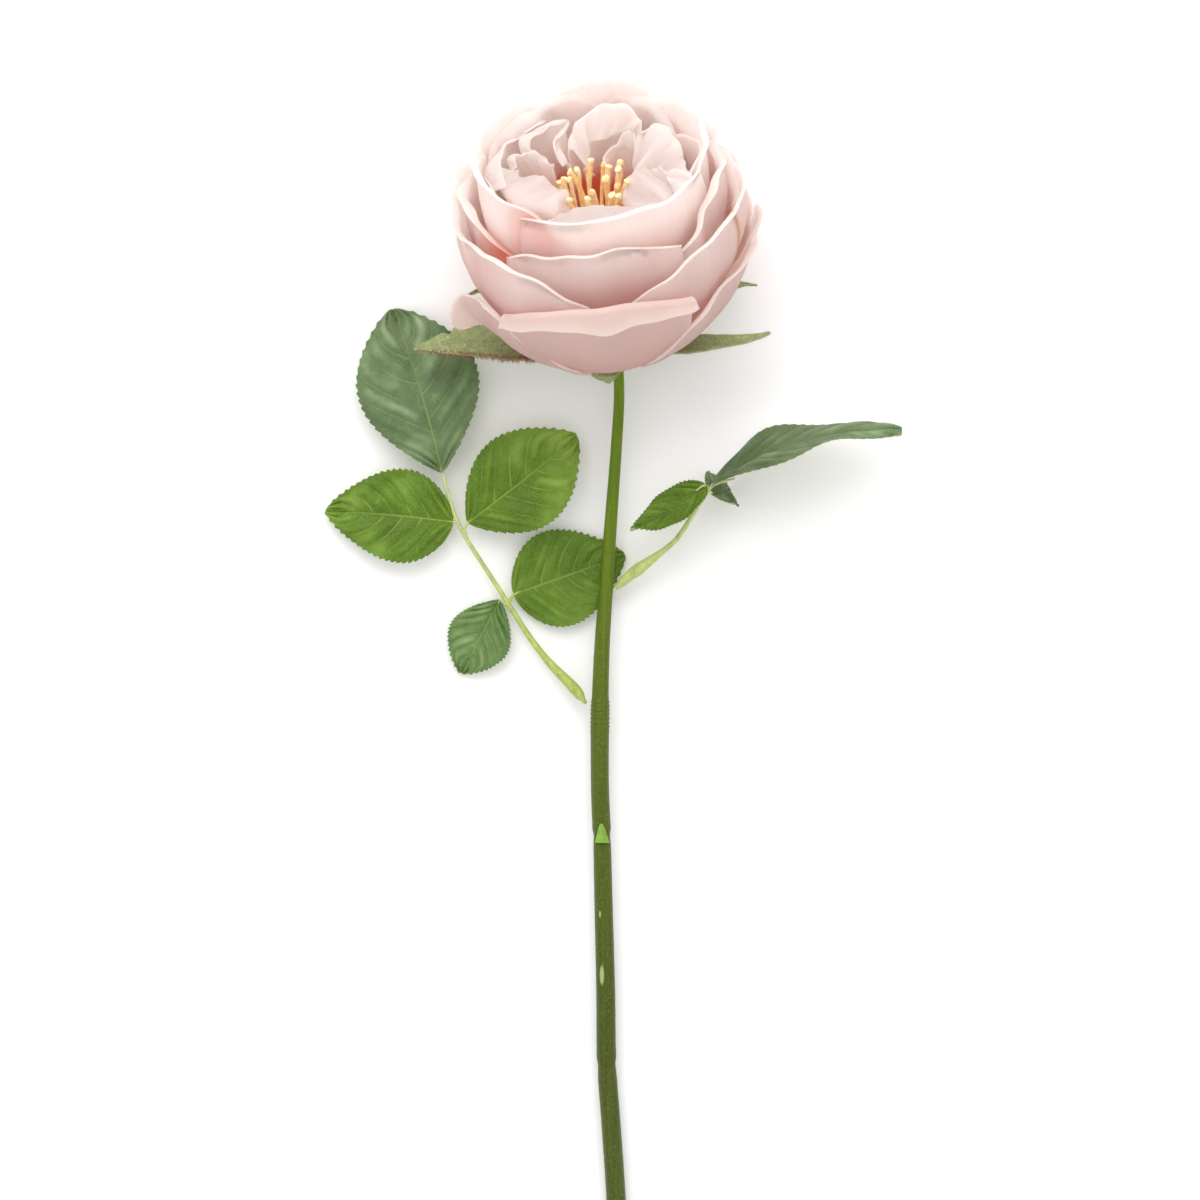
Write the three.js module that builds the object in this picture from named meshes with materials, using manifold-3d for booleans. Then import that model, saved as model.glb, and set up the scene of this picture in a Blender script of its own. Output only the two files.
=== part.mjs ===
// A cut garden rose, lying on a table. One full, cupped flower of seven rows of petals sits on a hip
// with five sepals, at the end of a stem that carries a leaf of five leaflets and a leaf of three.
// Millimetres, +Z up. The stem runs along Y with the flower at the +Y end, and the lowest point is Z = 0.
import * as THREE from 'three';
import Module from 'manifold-3d';
import { LoftGeometry } from 'three/addons/geometries/LoftGeometry.js';
import { mergeVertices } from 'three/addons/utils/BufferGeometryUtils.js';

const wasm = await Module();
wasm.setup();

// Driving dimensions, in millimetres and degrees.
const stemLength = 320; // from the middle of the calyx to the cut end, measured along the table
const stemEndRadius = 3.1; // at the cut end, where the stem lies on the table
const neckRadius = 1.6; // of the stem, just under the hip
const cupRadius = 48.5; // of the outermost row of petals, at its belly
const outerRowStep = 3.9; // radius lost from one row to the next, on the three outer rows
const innerRowStep = 5.4; // radius lost from one row to the next, on the rows inside them
const petalThickness = 0.6;
const petalOffset = 1.05; // how far the side of a petal stands off its row, over or under its neighbour
const hipRadius = 6.6; // of the swelling under the flower
const hipLength = 9; // from the calyx down to the stem
const seatRadius = 7; // of the column that carries the rows of petals, at the calyx
const seatHeight = 36; // of that column, up to the stamens
const seatTaper = 0.05; // radius lost for each millimetre up the column
const stamenReach = 13.5; // of the outermost anthers, from the flower's axis
const stamenHeight = 63.5; // of the tallest anthers, above the calyx
const sepalThickness = 0.6;
const leafThickness = 0.5;
const leafStalkRadius = 0.75;
const leafScale = 1; // of both leaves, their stalks and leaflets
const clearance = 0.3; // between pieces that touch

const faceRaise = 40; // angle between the flower's axis and the table
const faceLean = 8; // how far the flower's axis turns off the Y axis, towards -X

const degree = Math.PI / 180;

const petalColour = '#f0d2cb';
const sepalColour = '#9aa674';
const stemColour = '#66752c';
const stalkColour = '#b4c46a';
const leafColour = '#6f8c33';
const darkLeafColour = '#5c7350';
const stamenColour = '#eec178';
const pistilColour = '#c9cf8a';

function seatRadiusAt(height) {
  return seatRadius - seatTaper * height;
}

// Rows of petals, from the outside in. A row is a bowl turned about the flower's axis: its profile
// leaves the column at its foot, runs out to its belly and rises to its rim.
const rows = {
  guard: { foot: 0, belly: cupRadius, rim: cupRadius - 0.5, height: 52 },
  outer: { foot: 4, belly: cupRadius - outerRowStep, rim: cupRadius - outerRowStep, height: 59 },
  cup: { foot: 8.5, belly: cupRadius - 2 * outerRowStep, rim: cupRadius - 2 * outerRowStep, height: 68 },
  rim: { foot: 13, belly: cupRadius - 3 * outerRowStep, rim: cupRadius - 3 * outerRowStep - 0.6, height: 78 },
  inner: { foot: 18, belly: cupRadius - 3 * outerRowStep - innerRowStep, height: 71 },
  heart: { foot: 23, belly: cupRadius - 3 * outerRowStep - 2 * innerRowStep, height: 67 },
  centre: { foot: 28, belly: cupRadius - 3 * outerRowStep - 3 * innerRowStep, height: 64 },
};
rows.inner.rim = rows.inner.belly - 1;
rows.heart.rim = rows.heart.belly - 1.5;
rows.centre.rim = rows.centre.belly - 2;

// The folds that the crowded inner rows share. Each row is waved in and out as it nears its rim.
rows.guard.wave = 0;
rows.outer.wave = 0.3;
rows.cup.wave = 0.4;
rows.rim.wave = 0.6;
rows.inner.wave = 1.5;
rows.heart.wave = 2.2;
rows.centre.wave = 2;

const waveCount = 5;
const waveTurn = 40;

for (const row of Object.values(rows)) {
  const rise = row.height - row.foot;
  const start = new THREE.Vector2(seatRadiusAt(row.foot) + clearance + 0.2, row.foot);
  const low = new THREE.Vector2(0.55 * row.belly, row.foot + 3.6);
  const side = new THREE.Vector2(1.03 * row.belly, row.foot + 0.35 * rise);
  const top = new THREE.Vector2(row.rim, row.height);
  row.profile = new THREE.CubicBezierCurve(start, low, side, top);
}

// The place on a row's profile, from 0 at its foot to 1 at its rim, that lies at the given height.
function placeAtHeight(row, height) {
  let low = 0;
  let high = 1;
  for (let step = 0; step < 20; step++) {
    const middle = (low + high) / 2;
    if (row.profile.getPoint(middle).y < height) low = middle;
    else high = middle;
  }
  return high;
}

// How deep the guard row reaches under the calyx when the flower lies down, and so how high the
// calyx stands above the table. The lowest petals are pressed flat by pressDepth.
const pressDepth = 1.2;
let guardDepth = 0;
for (let step = 0; step <= 40; step++) {
  const point = rows.guard.profile.getPoint(step / 40);
  const depth = point.x * Math.cos(faceRaise * degree) - point.y * Math.sin(faceRaise * degree);
  guardDepth = Math.max(guardDepth, depth);
}
const calyxHeight = guardDepth - pressDepth + petalOffset + petalThickness / 2;

// Petals. around: the middle of the petal, in degrees about the flower's axis, with -90 facing up;
// half: half its width in degrees; rim: the height of its edge at its left, middle and right;
// sides: 1 where a side lies over its neighbour and -1 where it lies under it;
// lip: the length of the rolled edge; roll: the angle that it turns outwards; bend: the radius that it
// turns round, where the edge is folded back and runs on straight; lipEnds: the share of the lip that
// is left at the petal's sides; corner: how sharply the edge falls to its sides.
const petals = [
  {
    row: 'guard', around: -96, half: 40, rim: [37, 46, 38], sides: [-1, -1],
    lip: 9, roll: 2.7, bend: 1.6, lipEnds: 0.6,
  },
  {
    row: 'guard', around: -143, half: 34, rim: [27, 37, 16], sides: [1, 1],
    lip: 1.4, roll: 1.4, corner: 1.1,
  },
  { row: 'guard', around: -29, half: 46, rim: [14, 33, 33], sides: [1, 1], lip: 3, roll: 1.4, corner: 1.5 },
  { row: 'guard', around: 42, half: 40, rim: [36, 45, 36], sides: [-1, -1], lip: 3, roll: 1.4 },
  { row: 'guard', around: 118, half: 52, rim: [36, 44, 35], sides: [1, -1], lip: 3, roll: 1.4 },
  { row: 'outer', around: -140, half: 41, rim: [49, 56, 44], sides: [1, 1], lip: 2, roll: 1.8 },
  { row: 'outer', around: -35, half: 47, rim: [43, 52, 53], sides: [1, 1], lip: 1.5, roll: 1.2 },
  { row: 'outer', around: 31, half: 38, rim: [48, 55, 48], sides: [-1, -1], lip: 2, roll: 1.4 },
  { row: 'outer', around: 100, half: 42, rim: [48, 57, 48], sides: [1, 1], lip: 2, roll: 1.6 },
  { row: 'outer', around: 165, half: 39, rim: [47, 55, 48], sides: [-1, -1], lip: 2, roll: 1.6 },
  { row: 'cup', around: -96, half: 44, rim: [54, 61.5, 53], sides: [1, 1], lip: 2.4, roll: 1.9 },
  { row: 'cup', around: -9, half: 49, rim: [50, 58, 52], sides: [-1, 1], lip: 2, roll: 1.4 },
  { row: 'cup', around: 60, half: 37, rim: [56, 64, 56], sides: [-1, -1], lip: 2, roll: 1.2 },
  { row: 'cup', around: 125, half: 35, rim: [56, 65, 56], sides: [1, 1], lip: 2, roll: 1.2 },
  { row: 'cup', around: 188, half: 39, rim: [53, 60, 52], sides: [-1, -1], lip: 2, roll: 1.4 },
  { row: 'rim', around: -76, half: 57, rim: [68, 71, 66], sides: [1, 1], lip: 1.6, roll: 2.2 },
  { row: 'rim', around: 20, half: 43, rim: [62, 68, 62], sides: [-1, -1], lip: 2, roll: 1.2 },
  { row: 'rim', around: 80, half: 38, rim: [64, 70, 64], sides: [1, 1], lip: 2, roll: 1.2 },
  { row: 'rim', around: 140, half: 37, rim: [64, 71, 66], sides: [-1, 1], lip: 2, roll: 1.2 },
  { row: 'rim', around: 205, half: 48, rim: [66, 73, 66], sides: [-1, -1], lip: 1.4, roll: 1.6 },
];

// The inner rows are evenly spread, with every second petal outside its neighbours.
const innerRows = [
  { row: 'inner', count: 6, turn: -62, half: 37, rim: 65, drop: 7, lip: 1.4, roll: 1.2 },
  { row: 'heart', count: 6, turn: -35, half: 37, rim: 62, drop: 7, lip: 1.2, roll: 1.0 },
  { row: 'centre', count: 5, turn: -80, half: 43, rim: 58, drop: 8, lip: 1.0, roll: 0.8 },
];
for (const { row, count, turn, half, rim, drop, lip, roll } of innerRows) {
  for (let index = 0; index < count; index++) {
    const around = turn + (index * 360) / count;
    const over = index % 2 === 0 ? 1 : -1;
    const last = count % 2 === 1 && index === count - 1;
    const sides = last ? [1, -1] : [over, over];
    const middle = rim + 2 * Math.sin(2.4 * index + turn);
    petals.push({ row, around, half, rim: [middle - drop, middle, middle - drop], sides, lip, roll });
  }
}

// A point of a petal's middle surface. across runs from -1 to 1 and along from 0 at the foot to 1.
const lipStart = 5 / 7;
const footSpread = 0.45;
function petalPoint(petal, across, along, target) {
  const row = rows[petal.row];
  const left = across < 0;
  const [leftRim, middleRim, rightRim] = petal.rim;
  const sideRim = left ? leftRim : rightRim;
  const rimHeight = middleRim + (sideRim - middleRim) * Math.abs(across) ** (petal.corner ?? 2.2);
  const rimPlace = placeAtHeight(row, rimHeight);

  const upBody = Math.min(along / lipStart, 1);
  const spread = 1 - (1 - footSpread) * (1 - Math.min(upBody / 0.6, 1)) ** 2;
  const angle = (petal.around + across * petal.half * spread) * degree;

  const place = rimPlace * upBody;
  const onProfile = row.profile.getPoint(place);
  const tangent = row.profile.getTangent(place);
  const offset = petalOffset * petal.sides[left ? 0 : 1] * Math.abs(across) ** 1.5 * Math.min(3 * upBody, 1);
  let radius = onProfile.x + tangent.y * offset;
  let height = onProfile.y - tangent.x * offset;
  radius += row.wave * upBody ** 2 * Math.sin(waveCount * angle + waveTurn * degree);

  const lip = petal.lip * (1 - (1 - (petal.lipEnds ?? 0.35)) * across ** 2);
  const bend = Math.min(petal.bend ?? Infinity, lip / petal.roll);
  const onLip = lip * Math.max((along - lipStart) / (1 - lipStart), 0);
  const turned = Math.min(onLip / bend, petal.roll);
  const beyond = onLip - turned * bend;
  const upwards = bend * Math.sin(turned) + beyond * Math.cos(turned);
  const outwards = bend * (1 - Math.cos(turned)) + beyond * Math.sin(turned);
  radius += upwards * tangent.x + outwards * tangent.y;
  height += upwards * tangent.y - outwards * tangent.x;

  const x = radius * Math.cos(angle);
  let y = radius * Math.sin(angle);
  const raise = faceRaise * degree;
  const deepest = guardDepth - pressDepth + offset;
  y = Math.min(y, (deepest + height * Math.sin(raise)) / Math.cos(raise));
  return target.set(x, y, height);
}

// Closes a sheet, given by its middle surface, into a thin solid that tapers to nothing at its edge.
function sheetSolid(middlePoint, columns, lines, thickness) {
  const positions = [];
  const indices = [];
  const here = new THREE.Vector3();
  const acrossNext = new THREE.Vector3();
  const alongNext = new THREE.Vector3();
  const normal = new THREE.Vector3();
  const tiny = 1e-3;
  const front = [];
  const back = [];
  for (let line = 0; line <= lines; line++) {
    for (let column = 0; column <= columns; column++) {
      const across = (2 * column) / columns - 1;
      const along = line / lines;
      middlePoint(across, along, here);
      const onEdge = line === 0 || line === lines || column === 0 || column === columns;
      if (onEdge) {
        front.push(positions.length / 3);
        back.push(positions.length / 3);
        positions.push(here.x, here.y, here.z);
        continue;
      }
      middlePoint(across + tiny, along, acrossNext).sub(here);
      middlePoint(across, along - tiny, alongNext).sub(here).negate();
      normal.crossVectors(acrossNext, alongNext).setLength(thickness / 2);
      front.push(positions.length / 3);
      positions.push(here.x + normal.x, here.y + normal.y, here.z + normal.z);
      back.push(positions.length / 3);
      positions.push(here.x - normal.x, here.y - normal.y, here.z - normal.z);
    }
  }
  for (let line = 0; line < lines; line++) {
    for (let column = 0; column < columns; column++) {
      const a = line * (columns + 1) + column;
      const b = a + 1;
      const c = b + columns + 1;
      const d = a + columns + 1;
      // The dividing line of a corner cell runs out of the corner itself.
      const risingCut = column < columns / 2 === line < lines / 2;
      const halves = risingCut ? [[a, b, c], [a, c, d]] : [[a, b, d], [b, c, d]];
      for (const [p, q, r] of halves) {
        indices.push(front[p], front[q], front[r]);
        indices.push(back[p], back[r], back[q]);
      }
    }
  }
  const geometry = new THREE.BufferGeometry();
  geometry.setAttribute('position', new THREE.Float32BufferAttribute(positions, 3));
  geometry.setIndex(indices);
  geometry.computeVertexNormals();
  return geometry;
}

// A closed tube through the given points, with a radius for each of them.
function taperedTube(points, radii, sides) {
  const sections = points.map((point, index) => {
    const before = points[Math.max(index - 1, 0)];
    const after = points[Math.min(index + 1, points.length - 1)];
    const ahead = after.clone().sub(before).normalize();
    const reference = Math.abs(ahead.z) > 0.8 ? new THREE.Vector3(1, 0, 0) : new THREE.Vector3(0, 0, 1);
    const right = new THREE.Vector3().crossVectors(reference, ahead).normalize();
    const up = new THREE.Vector3().crossVectors(ahead, right);
    return Array.from({ length: sides }, (_, side) => {
      const turn = (2 * Math.PI * side) / sides;
      return point
        .clone()
        .addScaledVector(right, radii[index] * Math.cos(turn))
        .addScaledVector(up, radii[index] * Math.sin(turn));
    });
  });
  return new LoftGeometry(sections, { capStart: true, capEnd: true });
}

// A value read from a list of [place, value] pairs, with straight lines between them.
function valueAt(pairs, place) {
  const next = pairs.findIndex(([listed]) => listed >= place);
  if (next === 0) return pairs[0][1];
  if (next < 0) return pairs[pairs.length - 1][1];
  const [placeBefore, valueBefore] = pairs[next - 1];
  const [placeAfter, valueAfter] = pairs[next];
  return THREE.MathUtils.mapLinear(place, placeBefore, placeAfter, valueBefore, valueAfter);
}

// A solid turned about the Z axis, from [radius, height] pairs that run upwards.
function turned(profile, segments) {
  const points = profile.map(([radius, height]) => new THREE.Vector2(radius, height));
  return new THREE.LatheGeometry(points, segments).rotateX(Math.PI / 2);
}

// The point at a radius, an angle and a height from the Z axis.
function aroundAxis(radius, angle, height) {
  return new THREE.Vector3(radius * Math.cos(angle), radius * Math.sin(angle), height);
}

function toSolid(geometry) {
  const bare = new THREE.BufferGeometry();
  bare.setAttribute('position', geometry.getAttribute('position'));
  bare.setIndex(geometry.getIndex());
  const merged = mergeVertices(bare, 1e-3);
  const vertProperties = new Float32Array(merged.attributes.position.array);
  return new wasm.Manifold(
    new wasm.Mesh({ numProp: 3, vertProperties, triVerts: new Uint32Array(merged.index.array) }),
  );
}

function toGeometry(solid) {
  const mesh = solid.getMesh();
  const geometry = new THREE.BufferGeometry();
  geometry.setAttribute('position', new THREE.Float32BufferAttribute(mesh.vertProperties, 3));
  geometry.setIndex(Array.from(mesh.triVerts));
  geometry.computeVertexNormals();
  return geometry;
}

function makeMesh(name, geometry, color, roughness) {
  const material = new THREE.MeshStandardMaterial({ color, roughness, metalness: 0 });
  const mesh = new THREE.Mesh(geometry, material);
  mesh.name = name;
  return mesh;
}

// The flower, in its own frame: the calyx at the origin and the axis along +Z.
const flower = new THREE.Group();
flower.rotation.x = (faceRaise - 90) * degree;

const degreesPerColumn = 6.5; // of a petal's half width
const petalLines = 7;
const petalCounts = {};
for (const petal of petals) {
  petalCounts[petal.row] = (petalCounts[petal.row] ?? 0) + 1;
  const columns = Math.max(5, Math.ceil(petal.half / degreesPerColumn));
  const point = (across, along, target) => petalPoint(petal, across, along, target);
  const geometry = sheetSolid(point, columns, petalLines, petalThickness);
  flower.add(makeMesh(`${petal.row}_petal_${petalCounts[petal.row]}`, geometry, petalColour, 0.6));
}

// The hip, with the column inside the flower that the petals sit on.
const hipProfile = [
  [0, -hipLength],
  [neckRadius + 0.3, -hipLength],
  [0.72 * hipRadius, -0.78 * hipLength],
  [hipRadius, -0.45 * hipLength],
  [0.93 * hipRadius, -0.2 * hipLength],
  [seatRadiusAt(0), 0],
  [seatRadiusAt(seatHeight), seatHeight],
  [0, seatHeight],
];
flower.add(makeMesh('hip', turned(hipProfile, 14), sepalColour, 0.7));

// Sepals. around: where the sepal leaves the hip; bend: how far it turns about the axis at its tip;
// spine: radius and height of points along it; half: half its width in millimetres.
const sepalFoot = [seatRadius + 2 * clearance, -1.9];
const sepals = [
  { around: 176, bend: 4, half: 9.5, spine: [sepalFoot, [24, 0.2], [44, 3.5], [62, 5.6]] },
  { around: -106, bend: 2, half: 6, spine: [sepalFoot, [13, -1.2], [17.5, -2.2], [15, -6.5]] },
  { around: -34, bend: 27, half: 4.8, spine: [sepalFoot, [20, 0.6], [35, 1.5], [48.5, -2.5]] },
  { around: 38, bend: -22, half: 5.5, spine: [sepalFoot, [20, -1], [35, -0.5], [48.3, 1.5]] },
  { around: 112, bend: 48, half: 6, spine: [sepalFoot, [20, 0.6], [35, 5], [48, 10]] },
];
sepals.forEach(({ around, bend, half, spine }, index) => {
  const points = spine.map(([radius, height]) => new THREE.Vector3(radius, 0, height));
  const curve = new THREE.CatmullRomCurve3(points);
  const point = (across, along, target) => {
    const onSpine = curve.getPoint(along);
    const width = half * Math.sin(Math.PI * (0.22 + 0.76 * along)) ** 1.1;
    const angle = (around + bend * along ** 2) * degree;
    const sideways = across * width;
    target.x = onSpine.x * Math.cos(angle) - sideways * Math.sin(angle);
    target.y = onSpine.x * Math.sin(angle) + sideways * Math.cos(angle);
    target.z = onSpine.z + 0.12 * width * across ** 2;
    return target;
  };
  flower.add(makeMesh(`sepal_${index + 1}`, sheetSolid(point, 4, 7, sepalThickness), sepalColour, 0.75));
});

// Stamens, joined to one ring at the top of the column, and the pistils that they stand round.
const stamenCount = 22;
const stamenRingInner = 2.8;
const stamenRingOuter = seatRadiusAt(seatHeight);
const stamenFoot = seatHeight + clearance;
const ringHeight = 1.5;
const ringProfile = [
  [stamenRingInner, stamenFoot],
  [stamenRingOuter, stamenFoot],
  [stamenRingOuter, stamenFoot + ringHeight],
  [stamenRingInner, stamenFoot + ringHeight],
  [stamenRingInner, stamenFoot],
];
let stamens = toSolid(turned(ringProfile, 14));
const goldenTurn = 137.5 * degree;
for (let index = 0; index < stamenCount; index++) {
  const angle = index * goldenTurn;
  const outward = Math.sqrt((index + 0.5) / stamenCount);
  const footRadius = stamenRingInner + 0.6 + 0.9 * outward;
  const tipRadius = 4 + (stamenReach - 4) * outward;
  const tipHeight = stamenHeight - 6 * outward + 2 * Math.sin(3 * index);
  const lean = angle + 0.25 * Math.sin(5 * index);
  const foot = aroundAxis(footRadius, angle, stamenFoot + ringHeight / 2);
  const tip = aroundAxis(tipRadius, lean, tipHeight);
  const places = [0, 0.5, 0.84, 0.93, 1];
  const points = places.map((place) => foot.clone().lerp(tip, place));
  stamens = stamens.add(toSolid(taperedTube(points, [0.6, 0.55, 0.65, 1.1, 0.6], 5)));
}
flower.add(makeMesh('stamens', toGeometry(stamens), stamenColour, 0.7));

const pistilRadius = stamenRingInner - clearance;
const pistilTop = seatHeight + 9;
const pistilProfile = [
  [0, stamenFoot],
  [pistilRadius, stamenFoot],
  [pistilRadius, pistilTop - 3],
  [0.7 * pistilRadius, pistilTop - 0.8],
  [0, pistilTop],
];
flower.add(makeMesh('pistils', turned(pistilProfile, 9), pistilColour, 0.7));

const leaningFlower = new THREE.Group();
leaningFlower.add(flower);
leaningFlower.rotation.z = faceLean * degree;
leaningFlower.position.z = calyxHeight;

// The stem. Its route starts along the flower's axis and settles down on the table: each entry holds
// the distance from the calyx, the place sideways, and the height as a share of the height at the neck.
const axis = new THREE.Vector3(
  -Math.sin(faceLean * degree) * Math.cos(faceRaise * degree),
  Math.cos(faceLean * degree) * Math.cos(faceRaise * degree),
  Math.sin(faceRaise * degree),
);
const neck = axis.clone().multiplyScalar(-(hipLength + 2 * clearance));
neck.z += calyxHeight;
const stemRoute = [
  [12, 1.5, 0.76],
  [20.6, 1.6, 0.57],
  [36, 0.7, 0.45],
  [57.5, -0.9, 0.42],
  [76, -2.2, 0.41],
  [97.5, -3.7, 0.38],
  [119, -4.3, 0.35],
  [140.6, -4.3, 0.31],
  [156, -3.7, 0.28],
  [180.6, -3.1, 0.23],
  [205, -2.5, 0.18],
  [226.8, -2.2, 0.14],
  [245, -0.9, 0.1],
  [266.8, 0.6, 0.06],
  [stemLength, 3, 0],
];
const stemPoints = stemRoute.map(
  ([distance, sideways, share]) =>
    new THREE.Vector3(sideways, -distance, stemEndRadius + share * (neck.z - stemEndRadius)),
);
const stemCurve = new THREE.CatmullRomCurve3([neck, ...stemPoints], false, 'centripetal');

// The stem's middle at the given distance from the calyx.
function stemPointAt(distance) {
  let low = 0;
  let high = 1;
  for (let step = 0; step < 30; step++) {
    const middle = (low + high) / 2;
    if (-stemCurve.getPoint(middle).y < distance) low = middle;
    else high = middle;
  }
  return stemCurve.getPoint(high);
}

// Radius along the stem: it thickens downwards, with a ridged collar where the lower leaf joins it
// and a shallow waist at each of the two growth joints.
const leafJoint = 114.8; // distance from the calyx to where the lower leaf leaves the stem
const upperLeafJoint = 79.7;
const firstWaist = 155.4;
const secondWaist = 226.8;
const stemRadii = [
  [-neck.y, neckRadius],
  [20, neckRadius + 0.05],
  [42, 1.8],
  [75, 2.1],
  [92, 2.35],
  [leafJoint - 1, 2.6],
  [leafJoint + 1, 3.0],
  [leafJoint + 3, 2.85],
  [leafJoint + 5, 3.1],
  [leafJoint + 7, 2.9],
  [leafJoint + 9, 3.1],
  [leafJoint + 11, 2.8],
  [leafJoint + 22, 2.8],
  [firstWaist - 3, 2.9],
  [firstWaist, 2.45],
  [firstWaist + 3, 2.75],
  [180, 2.85],
  [205, 2.95],
  [secondWaist - 3, 3.1],
  [secondWaist, 2.65],
  [secondWaist + 3, 2.95],
  [stemLength, stemEndRadius],
];
const stemStops = stemRadii.map(([distance]) => distance);
stemStops.push(-neck.y + 1.5, 10.5, 14, 17, 28, 50, 63, 102, 147, 192, 216, 245, 266, 285, 303);
stemStops.sort((one, other) => one - other);
const stem = taperedTube(stemStops.map(stemPointAt), stemStops.map((stop) => valueAt(stemRadii, stop)), 12);

const plants = new THREE.Group();
plants.add(makeMesh('stem', stem, stemColour, 0.55));

// A leaf's parts are placed from its joint with the stem, in millimetres along X, Y and Z.
function placeFrom(joint, [x, y, z]) {
  return joint.clone().add(new THREE.Vector3(x, y, z).multiplyScalar(leafScale));
}

function leafStalk(name, joint, route, radii) {
  const curve = new THREE.CatmullRomCurve3(route.map((place) => placeFrom(joint, place)));
  const steps = 16;
  const points = curve.getSpacedPoints(steps);
  const sizes = points.map((_, index) => valueAt(radii, index / steps));
  plants.add(makeMesh(name, taperedTube(points, sizes, 7), stalkColour, 0.6));
}

// A leaflet's blade from its base to its tip. face: the way its upper side looks; half: half its
// width; fold: how far its sides rise over the midrib; arch: how far its middle rises; sway: how far
// the middle of its midrib lies to the side; ripple: the size of the waves along its edges; shape: less
// than 1 where the blade is widest near its base, and 1 where it is widest at its middle.
function leaflet(name, joint, blade, colour) {
  const base = placeFrom(joint, blade.base);
  const tip = placeFrom(joint, blade.tip);
  const lengthwise = tip.clone().sub(base);
  const sideways = new THREE.Vector3().crossVectors(lengthwise, new THREE.Vector3(...blade.face)).normalize();
  const upwards = new THREE.Vector3().crossVectors(sideways, lengthwise).normalize();
  const point = (across, along, target) => {
    const place = 0.004 + 0.988 * along;
    const outline = Math.sin(Math.PI * place ** (blade.shape ?? 0.75)) ** 0.8;
    const bow = 4 * place * (1 - place);
    const rise = blade.arch * bow + blade.fold * Math.abs(across) * outline;
    const waves = (blade.ripple ?? 0) * across ** 2 * Math.sin(9 * place + 1.5 * across) * outline;
    target.copy(base).addScaledVector(lengthwise, place);
    target.addScaledVector(sideways, leafScale * (across * blade.half * outline + (blade.sway ?? 0) * bow));
    return target.addScaledVector(upwards, leafScale * (rise + waves));
  };
  plants.add(makeMesh(name, sheetSolid(point, 6, 9, leafThickness), colour, 0.5));
}

const up = [0, 0, 1];

// The lower leaf, with five leaflets, lies out to -X.
const lowerJoint = stemPointAt(leafJoint);
leafStalk(
  'lower_leaf_stalk',
  lowerJoint,
  [
    [-4.5, 0.4, 0],
    [-8, 5, -0.6],
    [-15.4, 12.6, -2],
    [-21.5, 20.3, -3],
    [-27.1, 29, -3.2],
    [-35.4, 41.9, -2.2],
    [-43.1, 54.2, -0.6],
    [-46.8, 63.4, 0.2],
    [-48.9, 70.6, 0.4],
  ],
  [[0, 1.2], [0.1, 1.7], [0.3, 1], [0.5, leafStalkRadius], [1, 0.6]],
);
const lowerLeaflets = [
  {
    name: 'lower_leaflet_tip', base: [-49.3, 72.2, 0.4], tip: [-65, 123.8, -3],
    half: 19, fold: 2, arch: 1.5, sway: 1, shape: 1.1,
  },
  {
    name: 'lower_leaflet_left', base: [-45.7, 57, -0.6], tip: [-86, 60.5, -4],
    half: 14.4, fold: 1.5, arch: 2, sway: 0.5,
  },
  {
    name: 'lower_leaflet_right', base: [-41.4, 56.8, -0.5], tip: [-7, 84, 0],
    half: 15.6, fold: 2, arch: 3, sway: 0.5, shape: 0.95,
  },
  {
    name: 'lower_leaflet_under', base: [-27.2, 34.4, -3.4], tip: [8, 46.8, -4.6],
    half: 15.2, fold: 0.8, arch: 0.2,
  },
  {
    name: 'lower_leaflet_small', base: [-31.4, 32.8, -3.3], tip: [-43.5, 9.7, -5],
    half: 9.8, fold: 1, arch: 1.5, shape: 1.05,
  },
];
for (const blade of lowerLeaflets) {
  const colour = blade.name === 'lower_leaflet_tip' ? darkLeafColour : leafColour;
  leaflet(blade.name, lowerJoint, { face: up, ...blade }, colour);
}

// The upper leaf, with three leaflets, stands up off the table towards +X with its blades on edge.
const upperJoint = stemPointAt(upperLeafJoint);
leafStalk(
  'upper_leaf_stalk',
  upperJoint,
  [
    [3.4, 1.6, 0],
    [7, 4.8, 1],
    [11.7, 8.3, 2.4],
    [17.9, 12.9, 4.5],
    [21.9, 16.5, 6],
    [28.7, 26.8, 8.6],
    [31.4, 31, 9.6],
  ],
  [[0, 0.7], [0.12, 1.7], [0.3, 1.9], [0.5, 0.85], [1, 0.6]],
);
const upperLeaflets = [
  {
    name: 'upper_leaflet_tip', base: [32.4, 32.6, 10], tip: [92.4, 49.5, 12],
    face: [-0.25, 0.9, 0.34], half: 13.5, fold: 2, arch: 6, ripple: 1.6,
  },
  {
    name: 'upper_leaflet_side', base: [31.3, 33.2, 10.8], tip: [7.5, 19.2, 14],
    face: [-0.35, 0.75, 0.56], half: 8.8, fold: 2, arch: -2,
  },
  {
    name: 'upper_leaflet_low', base: [32.4, 30.6, 8], tip: [38.5, 31, -6],
    face: [0.7, 0.65, 0.2], half: 7, fold: 1.5, arch: 1,
  },
];
for (const blade of upperLeaflets) leaflet(blade.name, upperJoint, blade, darkLeafColour);

// A small scale leaf over the bud at the first growth joint.
const budLength = 6;
const budFoot = firstWaist + 2.4;
const budScale = (across, along, target) => {
  const distance = budFoot - budLength * along;
  const turn = (90 + 50 * across * (1 - 0.85 * along)) * degree;
  const reach = valueAt(stemRadii, distance) + clearance + leafThickness * (1 + along);
  return target.set(reach * Math.cos(turn), 0, reach * Math.sin(turn)).add(stemPointAt(distance));
};
plants.add(makeMesh('bud_scale', sheetSolid(budScale, 4, 4, leafThickness), stalkColour, 0.6));

// The rose stands on the middle of its own outline: its lowest point at Z = 0.
const rose = new THREE.Group();
rose.add(leaningFlower, plants);
rose.updateMatrixWorld(true);
const box = new THREE.Box3().setFromObject(rose, true);
const middle = box.getCenter(new THREE.Vector3());
rose.position.set(-middle.x, -middle.y, -box.min.z);

const object = new THREE.Group();
object.add(rose);

export default object;
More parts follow.
